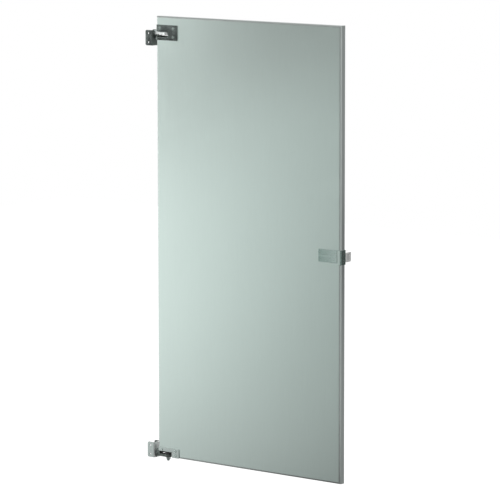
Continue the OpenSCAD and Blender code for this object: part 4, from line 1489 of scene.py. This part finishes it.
@dataclass
class OutsideLatch:
    """What shows of the latch from outside: the plate on the leaf and the guard on its edge."""

    corner: float = 2.5 * MM
    band_depth: float = 0.8 * MM
    band_height: float = 14.0 * MM
    band_rib: float = 7.0 * MM
    band_corner: float = 1.5 * MM
    band_margin: float = 3.0 * MM
    plate: float = 2.5 * MM
    post: float = 3.2 * MM
    post_inset: float = 11.0 * MM
    post_height: float = 13.5 * MM
    guard_wall: float = 1.5 * MM
    guard_corner: float = 4.0 * MM
    screw_head: float = 4.0 * MM
    screw_shank: float = 2.1 * MM
    screw_hole: float = 2.2 * MM
    screw_room: float = 5.0 * MM
    head_play: float = 0.15 * MM
    softness: float = 0.35 * MM

    def outside_plate(self) -> None:
        """Models the plate with its two recessed bands and the posts behind it."""
        low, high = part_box("outside_latch_plate")
        back = low.y + self.plate
        made = Bench.span((low.x, high.x), (low.y, back), (low.z, high.z))
        made.round_edges(edges("y"), self.corner, 6)
        middle = (low.z + high.z) / 2
        for side in (-1, 1):
            centre = middle + side * (self.band_rib + self.band_height) / 2
            band = Bench.span(
                (low.x + self.band_margin, high.x - self.band_margin),
                (low.y - PAST, low.y + self.band_depth),
                (centre - self.band_height / 2, centre + self.band_height / 2),
            )
            made.cut(band.round_edges(edges("y"), self.band_corner, 5))
        case_low, case_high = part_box("latch_case")
        case_middle = (case_low.z + case_high.z) / 2
        for x in (low.x + self.post_inset, high.x - self.post_inset):
            for side in (-1, 1):
                foot = Vector((x, back - self.plate / 4, case_middle + side * self.post_height))
                made.join(Bench.rod(foot, Vector((x, high.y, foot.z)), self.post, 32))
        made.soften(self.softness)

        def in_band(place: Vector, normal: Vector) -> bool:
            """Whether a face is the floor of a band."""
            return abs(place.y - low.y - self.band_depth) < NEAR / 2

        # Painted shade: the bands' floors take a darker copy of the plate's steel.
        accents = ((in_band, SHADED_BAND_STEEL),)
        node = "outside_latch_plate"
        made.done("outside_plate", Body.DOOR, Slot.CASTING, PLATE_STEEL, node, accents=accents)

    def edge_guard(self) -> None:
        """Models the guard that wraps the leaf's edge, with its countersunk screws."""
        low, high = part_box("latch_edge_guard")
        made = Bench.block(low, high)
        made.round_edges(edges("z", x=high.x), self.guard_corner, 7)
        wall = self.guard_wall
        inner, tall = (low.y + wall, high.y - wall), (low.z - PAST, high.z + PAST)
        made.cut(Bench.span((low.x - PAST, high.x - wall), inner, tall))
        screw_low, screw_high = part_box("edge_guard_screws")
        heights = (screw_low.z + self.screw_head, screw_high.z - self.screw_head)
        places = [Vector((high.x, 0, z)) for z in heights]
        depth = self.screw_head - self.screw_shank
        for place in places:
            mouth, seat = place + NEAR / 2 * X_AXIS, place - depth * X_AXIS
            mouth_radius = self.screw_head + self.head_play
            made.cut(
                Bench.rod(mouth, seat, mouth_radius, 32, self.screw_hole),
                Bench.rod(place, place - self.screw_room * X_AXIS, self.screw_hole, 32),
            )
        made.soften(0.4 * MM)
        node = "latch_edge_guard"
        # The laps on the leaf's faces take the face steel; the rest of the guard takes a dark
        # painted-shade copy of it.
        accents = ((lambda p, n: abs(n.y) > 0.95, FACE_STEEL),)
        made.done("edge_guard", Body.DOOR, Slot.CASTING, SHADED_GUARD_STEEL, node, accents=accents)
        length = screw_high.x - depth - screw_low.x
        pattern = ScrewPattern(
            self.screw_head, depth, self.screw_shank, length, Recess.CROSS, countersunk=True
        )
        seats, node = [place - depth * X_AXIS for place in places], "edge_guard_screws"
        pattern.place("guard_screw", node, Body.DOOR, Slot.SCREW, DARK_SCREW, seats, -X_AXIS)

    def build(self) -> None:
        """Models the plate and the guard."""
        self.outside_plate()
        self.edge_guard()


@dataclass
class InsideLatch:
    """The slide latch on the stall side: case, cover, bolt, knob, spring and screws."""

    corner: float = 6.0 * MM
    rim: float = 5.0 * MM
    bolt_play: float = 0.15 * MM
    bolt_room: float = 3.0 * MM
    stem: float = 4.0 * MM
    travel: float = 18.0 * MM
    play: float = 0.3 * MM
    head: float = 3.1 * MM
    head_height: float = 2.0 * MM
    head_sink: float = 1.0 * MM
    screw: float = 1.75 * MM
    screw_rim: float = 0.7 * MM
    screw_socket: float = 1.7 * MM
    cover_screw: float = 12.0 * MM
    knob_corner: float = 4.5 * MM
    knob_rim: float = 3.2 * MM
    bolt_nose: float = 2.4 * MM
    bolt_seat: float = 3.1 * MM
    stem_play: float = 0.02 * MM
    grooves: int = 4
    groove: float = 1.5 * MM
    groove_out: float = 0.75 * MM
    grooved_share: float = 0.62
    softness: float = 0.35 * MM

    def sink(self, made: Bench, place: Vector, low: Vector, high: Vector) -> Vector:
        """Cuts a stepped hole for a screw right through a piece, from its outer side.

        Args:
            made: The piece.
            place: The screw's place, of which X and Z count.
            low: The piece's lowest corner.
            high: Its highest corner.

        Returns:
            Where the underside of the screw's head sits.
        """
        depth = self.head_height + self.head_sink
        mouth, seat, foot = (
            Vector((place.x, y, place.z)) for y in (high.y + PAST, high.y - depth, low.y - PAST)
        )
        made.cut(
            Bench.rod(mouth, seat, self.head + NEAR, 32),
            Bench.rod(mouth, foot, self.screw + NEAR, 32),
        )
        return seat

    def drive(
        self, name: str, node: str, body: Body, length: float, seats: Sequence[Vector]
    ) -> None:
        """Places the cover's or the knob's small cross-recess screws.

        Args:
            name: Their name.
            node: The CAD node that they stand for.
            body: The body that carries them.
            length: How long their shanks are.
            seats: Where the undersides of their heads sit.
        """
        pattern = ScrewPattern(
            self.head,
            self.head_height,
            self.screw,
            length,
            Recess.CROSS,
            rim=self.screw_rim,
            socket_radius=self.screw_socket,
        )
        pattern.place(name, node, body, Slot.SCREW, SCREW_STEEL, seats, -Y_AXIS)

    def case(self) -> None:
        """Models the case, open at the latch edge for the bolt."""
        low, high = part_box("latch_case")
        bolt_low, bolt_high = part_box("latch_bolt")
        guard_low, guard_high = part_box("latch_edge_guard")
        made = Bench.block(low, high)
        made.round_edges(edges("y"), self.corner, 6)
        play = self.bolt_play
        channel = Bench.span(
            (bolt_low.x - self.bolt_room, high.x + PAST),
            (bolt_low.y - play, high.y + PAST),
            (bolt_low.z - play, bolt_high.z + play),
        )
        step = Bench.span(
            (guard_low.x - self.play, high.x + PAST),
            (low.y - PAST, guard_high.y + NEAR),
            (low.z - PAST, high.z + PAST),
        )
        made.cut(channel, step)
        made.soften(0.5 * MM)
        made.done("case", Body.DOOR, Slot.LATCH, SATIN_ZINC, "latch_case")

    def screw_places(self) -> list[Vector]:
        """The cover screws' places in the plane y = 0.

        Returns:
            The three places.
        """
        low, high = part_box("latch_cover_screws")
        middle = (low.z + high.z) / 2
        near, far = low.x + self.head, high.x - self.head
        return [
            Vector((near, 0, middle)),
            Vector((far, 0, high.z - self.head)),
            Vector((far, 0, low.z + self.head)),
        ]

    def cover(self) -> None:
        """Models the cover, with the slot for the knob's stem and its sunk screws."""
        low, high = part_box("latch_cover")
        knob_low, knob_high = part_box("latch_knob")
        made = Bench.block(low, high)
        made.round_edges(edges("y"), self.corner, 6)
        made.round_edges(edges(y=high.y), self.rim, 6)
        stem_x = (knob_low.x + knob_high.x) / 2
        middle = (low.z + high.z) / 2
        half = self.stem + self.play
        slot = Bench.span(
            (stem_x - half, stem_x + self.travel + half),
            (low.y - PAST, high.y + PAST),
            (middle - half, middle + half),
        )
        made.cut(slot.round_edges(edges("y"), half * 0.98, 8))
        seats = [self.sink(made, place, low, high) for place in self.screw_places()]
        made.soften(self.softness)
        made.done("cover", Body.DOOR, Slot.LATCH, SATIN_ZINC, "latch_cover")
        self.drive("cover_screw", "latch_cover_screws", Body.DOOR, self.cover_screw, seats)

    def bolt(self) -> None:
        """Models the sliding bolt with its bevelled nose."""
        low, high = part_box("latch_bolt")
        knob_low, knob_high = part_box("latch_knob")
        made = Bench.block(low, high)
        made.round_edges(edges("y", x=high.x), self.bolt_nose, 4)
        stem_x = (knob_low.x + knob_high.x) / 2
        middle = (low.z + high.z) / 2
        start = Vector((stem_x, high.y + PAST, middle))
        made.cut(Bench.rod(start, start - self.bolt_seat * Y_AXIS, self.stem + self.stem_play, 32))
        made.soften(0.5 * MM, 3)
        made.done("sliding_bolt", Body.LATCH, Slot.CASTING, SATIN_CHROME, "latch_bolt")

    def knob(self) -> None:
        """Models the knob: a rounded grip with finger grooves, and its stem."""
        low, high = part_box("latch_knob")
        _, cover_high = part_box("latch_cover")
        grip_y = cover_high.y + self.play
        middle = (low + high) / 2
        made = Bench.block(Vector((low.x, grip_y, low.z)), high)
        made.round_edges(edges("y"), self.knob_corner, 6)
        made.round_edges(edges(y=high.y), self.knob_rim, 5)
        rows = self.grooves + 1
        span = (high.z - low.z) * self.grooved_share
        for side_x in (low.x, high.x):
            x = side_x + math.copysign(self.groove_out, side_x - middle.x)
            for row in range(1, rows):
                z = middle.z - span / 2 + span * row / rows
                start, end = Vector((x, grip_y - PAST, z)), Vector((x, high.y + PAST, z))
                made.cut(Bench.rod(start, end, self.groove, 24))
        start, end = (Vector((middle.x, y, middle.z)) for y in (low.y, grip_y + PAST))
        made.join(Bench.rod(start, end, self.stem, 32))
        seat = self.sink(made, middle, low, high)
        made.soften(self.softness)
        made.done("knob", Body.LATCH, Slot.LATCH, SATIN_ZINC, "latch_knob")
        screw_low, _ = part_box("latch_knob_screw")
        length = seat.y - screw_low.y
        self.drive("knob_screw", "latch_knob_screw", Body.LATCH, length, [seat])

    def build(self) -> None:
        """Models the case, cover, bolt and knob, and dresses the case screws and the spring."""
        self.case()
        self.cover()
        self.bolt()
        self.knob()
        dress("latch_case_screws", SCREW_STEEL)
        dress("latch_spring", SPRING_STEEL)


@dataclass
class ReflectionCard:
    """A studio card that only reflections see: it shapes the tones of the metal.

    Its glow is even, or fades in a straight line across it and in a curve up and down it. The
    fades are given for each metre, from the card's middle. The curve can be stronger on one side,
    the dim side can have a tint, and the glow stays between the least and the most.
    """

    name: str
    seen_from: Vector
    toward: Vector
    distance: float
    size: tuple[float, float]
    glow: float
    across: float = 0.0
    fall: float = 0.0
    least: float = 0.0
    most: float = 2.0
    soft_rim: float = 0.1
    fall_across: float = 0.0
    dim_tint: Colour = (1.0, 1.0, 1.0)
    tint_span: float = 0.6

    def build(self) -> None:
        """Makes the card and hides it from all but reflections."""
        toward = self.toward.normalized()
        bpy.ops.object.select_all(action="DESELECT")
        bpy.ops.mesh.primitive_plane_add(
            size=1,
            location=self.seen_from + toward * self.distance,
            rotation=(-toward).to_track_quat("Z", "Y").to_euler(),
        )
        card = bpy.context.object
        card.name = self.name
        card.scale = (self.size[0], self.size[1], 1)
        bpy.ops.object.transform_apply(location=False, rotation=False, scale=True)
        card.data.materials.append(self._material())
        for ray in ("camera", "diffuse", "shadow", "transmission", "volume_scatter"):
            setattr(card, f"visible_{ray}", False)

    def _material(self) -> bpy.types.Material:
        """The card's glow, which thins out to nothing at its rim.

        Returns:
            The material.
        """
        material = bpy.data.materials.new(self.name)
        graph = Graph(material)
        x, y = graph.level_place()
        fall = self.fall - x * self.fall_across
        rise = graph.math("MINIMUM", self.glow + x * self.across, self.most)
        strength = graph.math("MAXIMUM", rise * (1 - y * y * fall), self.least)
        tinted = x.between(-self.tint_span, self.tint_span)
        glow = graph.glow(graph.blend(tinted, self.dim_tint, WHITE), strength)
        clear = graph.out("BSDF", "BsdfTransparent")
        half_x, half_y = self.size[0] / 2, self.size[1] / 2
        side = 1 - graph.math("ABSOLUTE", x).between(half_x - self.soft_rim, half_x)
        end = 1 - graph.math("ABSOLUTE", y).between(half_y - self.soft_rim, half_y)
        shaders = {"Fac": side * end, "Shader": clear, "Shader_001": glow}
        graph.end(graph.out("Shader", "MixShader", shaders))
        return material


@dataclass
class Studio:
    """The floor, the lamps, the world, the reflection cards and the camera."""

    floor_z: float = -0.305
    floor_size: float = 14.0
    floor_albedo: float = 0.8
    floor_lift: float = 0.36
    far_lift: float = 0.2
    surround: float = 0.62
    far_span: Span = (1.0, 4.5)
    card_height: float = 1.0
    card_ahead: float = 1.3
    camera_place: Vector = field(default_factory=lambda: Vector((7083.7, -8395.5, 2216.4)) * MM)
    camera_yaw: float = 38.523
    camera_pitch: float = 7.904
    camera_roll: float = -0.066
    focal_pixels: float = 3330.0
    frame_pixels: float = 500.0
    sensor: float = 36.0

    def camera(self) -> None:
        """Stands the camera where the photograph was taken from."""
        data = bpy.data.cameras.new("camera")
        data.sensor_width = self.sensor
        data.lens = self.focal_pixels / self.frame_pixels * self.sensor
        data.clip_end = 100
        camera = bpy.data.objects.new("camera", data)
        turn = Matrix.Rotation(math.radians(self.camera_yaw), 4, "Z")
        tilt = Matrix.Rotation(math.radians(90 - self.camera_pitch), 4, "X")
        roll = Matrix.Rotation(math.radians(self.camera_roll), 4, "Z")
        camera.matrix_world = Matrix.Translation(self.camera_place) @ turn @ tilt @ roll
        bpy.context.scene.collection.objects.link(camera)
        bpy.context.scene.camera = camera

    def seen(self, graph: Graph) -> Wire:
        """1 for rays from the camera, reflections and clear pieces, and 0 for the light itself.

        Args:
            graph: The tree.

        Returns:
            The number.
        """
        path = graph.add("LightPath")
        seen = graph.wire(path, "Is Camera Ray") + graph.wire(path, "Is Glossy Ray")
        return graph.math("MINIMUM", seen + graph.wire(path, "Is Transmission Ray"), 1.0)

    def world(self) -> None:
        """A white surround that lights the door softly."""
        world = bpy.data.worlds.new("surround")
        bpy.context.scene.world = world
        graph = Graph(world)
        strength = self.surround + self.seen(graph) * (1.0 - self.surround)
        sky = graph.out("Background", "Background", {"Color": WHITE, "Strength": strength})
        graph.end(sky, "OutputWorld")

    def floor(self) -> None:
        """A pale floor below the door, white where no shadow falls."""
        bpy.ops.object.select_all(action="DESELECT")
        bpy.ops.mesh.primitive_plane_add(size=self.floor_size, location=(0.4, 0, self.floor_z))
        floor = bpy.context.object
        floor.name = "floor"
        material = bpy.data.materials.new("pale_floor")
        graph = Graph(material)
        cast = graph.noise(graph.place(), 3.0, 3.0, 0.5)
        pale = (self.floor_albedo,) * 3
        colour = graph.blend(cast, shade(pale, 0.99), pale)
        diffuse = graph.out("BSDF", "BsdfDiffuse", {"Color": colour})
        x, y = graph.level_place()
        far = graph.math("SQRT", x * x + y * y).between(*self.far_span)
        lift = graph.glow(WHITE, self.seen(graph) * (self.floor_lift + far * self.far_lift))
        both = {"Shader": diffuse, "Shader_001": lift}
        graph.end(graph.out("Shader", "AddShader", both))
        floor.data.materials.append(material)

    def lamp(self, name: str, place: Vector, aim: Vector, size: float, power: float) -> None:
        """Hangs one soft lamp.

        Args:
            name: Its name.
            place: Where it hangs.
            aim: The point that it lights.
            size: The side of its square face.
            power: Its power in watts.
        """
        data = bpy.data.lights.new(name, "AREA")
        data.size = size
        data.energy = power
        lamp = bpy.data.objects.new(name, data)
        lamp.location = place
        lamp.rotation_euler = (aim - place).to_track_quat("-Z", "Y").to_euler()
        bpy.context.scene.collection.objects.link(lamp)

    def cards(self) -> None:
        """Sets the cards that give the metal its tones, where each surface mirrors them."""
        turn = Matrix.Rotation(math.radians(self.camera_yaw), 3, "Z")
        pitch = math.radians(self.camera_pitch)
        look = turn @ Vector((0, math.cos(pitch), -math.sin(pitch)))
        from_face = Vector((look.x, -look.y, look.z))
        from_edge = Vector((-look.x, look.y, look.z))
        from_shoulder = Vector((0.707, -0.707, look.z))
        from_top = Vector((-0.6, -0.35, 0.7))
        leaf_low, leaf_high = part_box("front_face_sheet")
        face = Vector(((leaf_low.x + leaf_high.x) / 2, leaf_low.y, (leaf_low.z + leaf_high.z) / 2))
        edge = Vector((leaf_high.x, 0, face.z))
        cast_low, cast_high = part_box("upper_door_casting")
        cast = Vector((cast_low.x, cast_low.y, (cast_low.z + cast_high.z) / 2))
        guard_low, guard_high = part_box("latch_edge_guard")
        guard = Vector((guard_high.x, 0, (guard_low.z + guard_high.z) / 2))
        far_corner = Vector((leaf_high.x + 0.2, leaf_low.y, leaf_high.z + 0.25))
        top = Vector((face.x, leaf_low.y, leaf_high.z))
        height = self.floor_z + self.card_height
        front_floor, edge_floor, side_floor = (
            Vector((start.x, start.y, height)) + self.card_ahead * level(way)
            for start, way in ((face, from_face), (edge, from_edge), (edge, from_shoulder))
        )
        down, wide = -Z_AXIS, {"soft_rim": 0.4}
        fading = {"across": 1.08, "fall": 0.38, "fall_across": 0.3, "least": 0.15}
        fading["dim_tint"] = (0.9, 1.0, 0.98)
        for name, start, toward, distance, size, glow, more in (
            ("front_card", face + 0.14 * Z_AXIS, from_face, 2.5, (5.2, 3.4), 0.96, fading),
            ("corner_flag", far_corner, from_face, 1.0, (1.4, 0.9), 0.05, {"soft_rim": 0.25}),
            ("top_flag", cast, from_face, 2.3, (1.05, 0.75), 0.02, {"soft_rim": 0.2}),
            ("room_card", edge, from_shoulder, 2.6, (4.6, 3.4), 0.5, {"least": 0.2}),
            ("sky_card", top, from_top, 2.2, (4.5, 2.8), 0.5, {"soft_rim": 0.3}),
            ("edge_card", edge, from_edge, 2.0, (3.0, 3.4), 0.41, {}),
            ("edge_flag", guard, from_edge, 1.8, (0.5, 0.5), 0.03, {"soft_rim": 0.15}),
            ("front_floor", front_floor, down, 0.99, (3.4, 3.4), 0.54, {"across": 0.44, **wide}),
            ("edge_floor", edge_floor, down, 0.99, (2.6, 2.6), 0.35, wide),
            ("side_floor", side_floor, down, 0.98, (2.4, 2.4), 0.13, wide),
        ):
            ReflectionCard(name, start, toward, distance, size, glow, **more).build()

    def build(self) -> None:
        """Sets the whole studio."""
        view = bpy.context.scene.view_settings
        view.view_transform = "Standard"
        self.camera()
        self.world()
        self.floor()
        self.cards()
        middle = Vector((0.4, 0, 0.74))
        for name, place, size, power in (
            ("key_lamp", (-1.6, -3.2, 2.6), 1.8, 60),
            ("fill_lamp", (3.4, -2.2, 1.8), 2.0, 30),
            ("back_lamp", (0.8, 3.4, 2.4), 2.0, 40),
        ):
            self.lamp(name, Vector(place), middle, size, power)


def main() -> None:
    """Builds the studio and the door, and reports each piece."""
    logging.basicConfig(level=logging.INFO, format="%(name)s: %(message)s")
    Studio().build()
    for part in (Leaf(), Brackets(), DoorCastings(), LowerPivot(), OutsideLatch(), InsideLatch()):
        LOG.info("building %s", type(part).__name__)
        part.build()


if __name__ == "__main__":
    main()
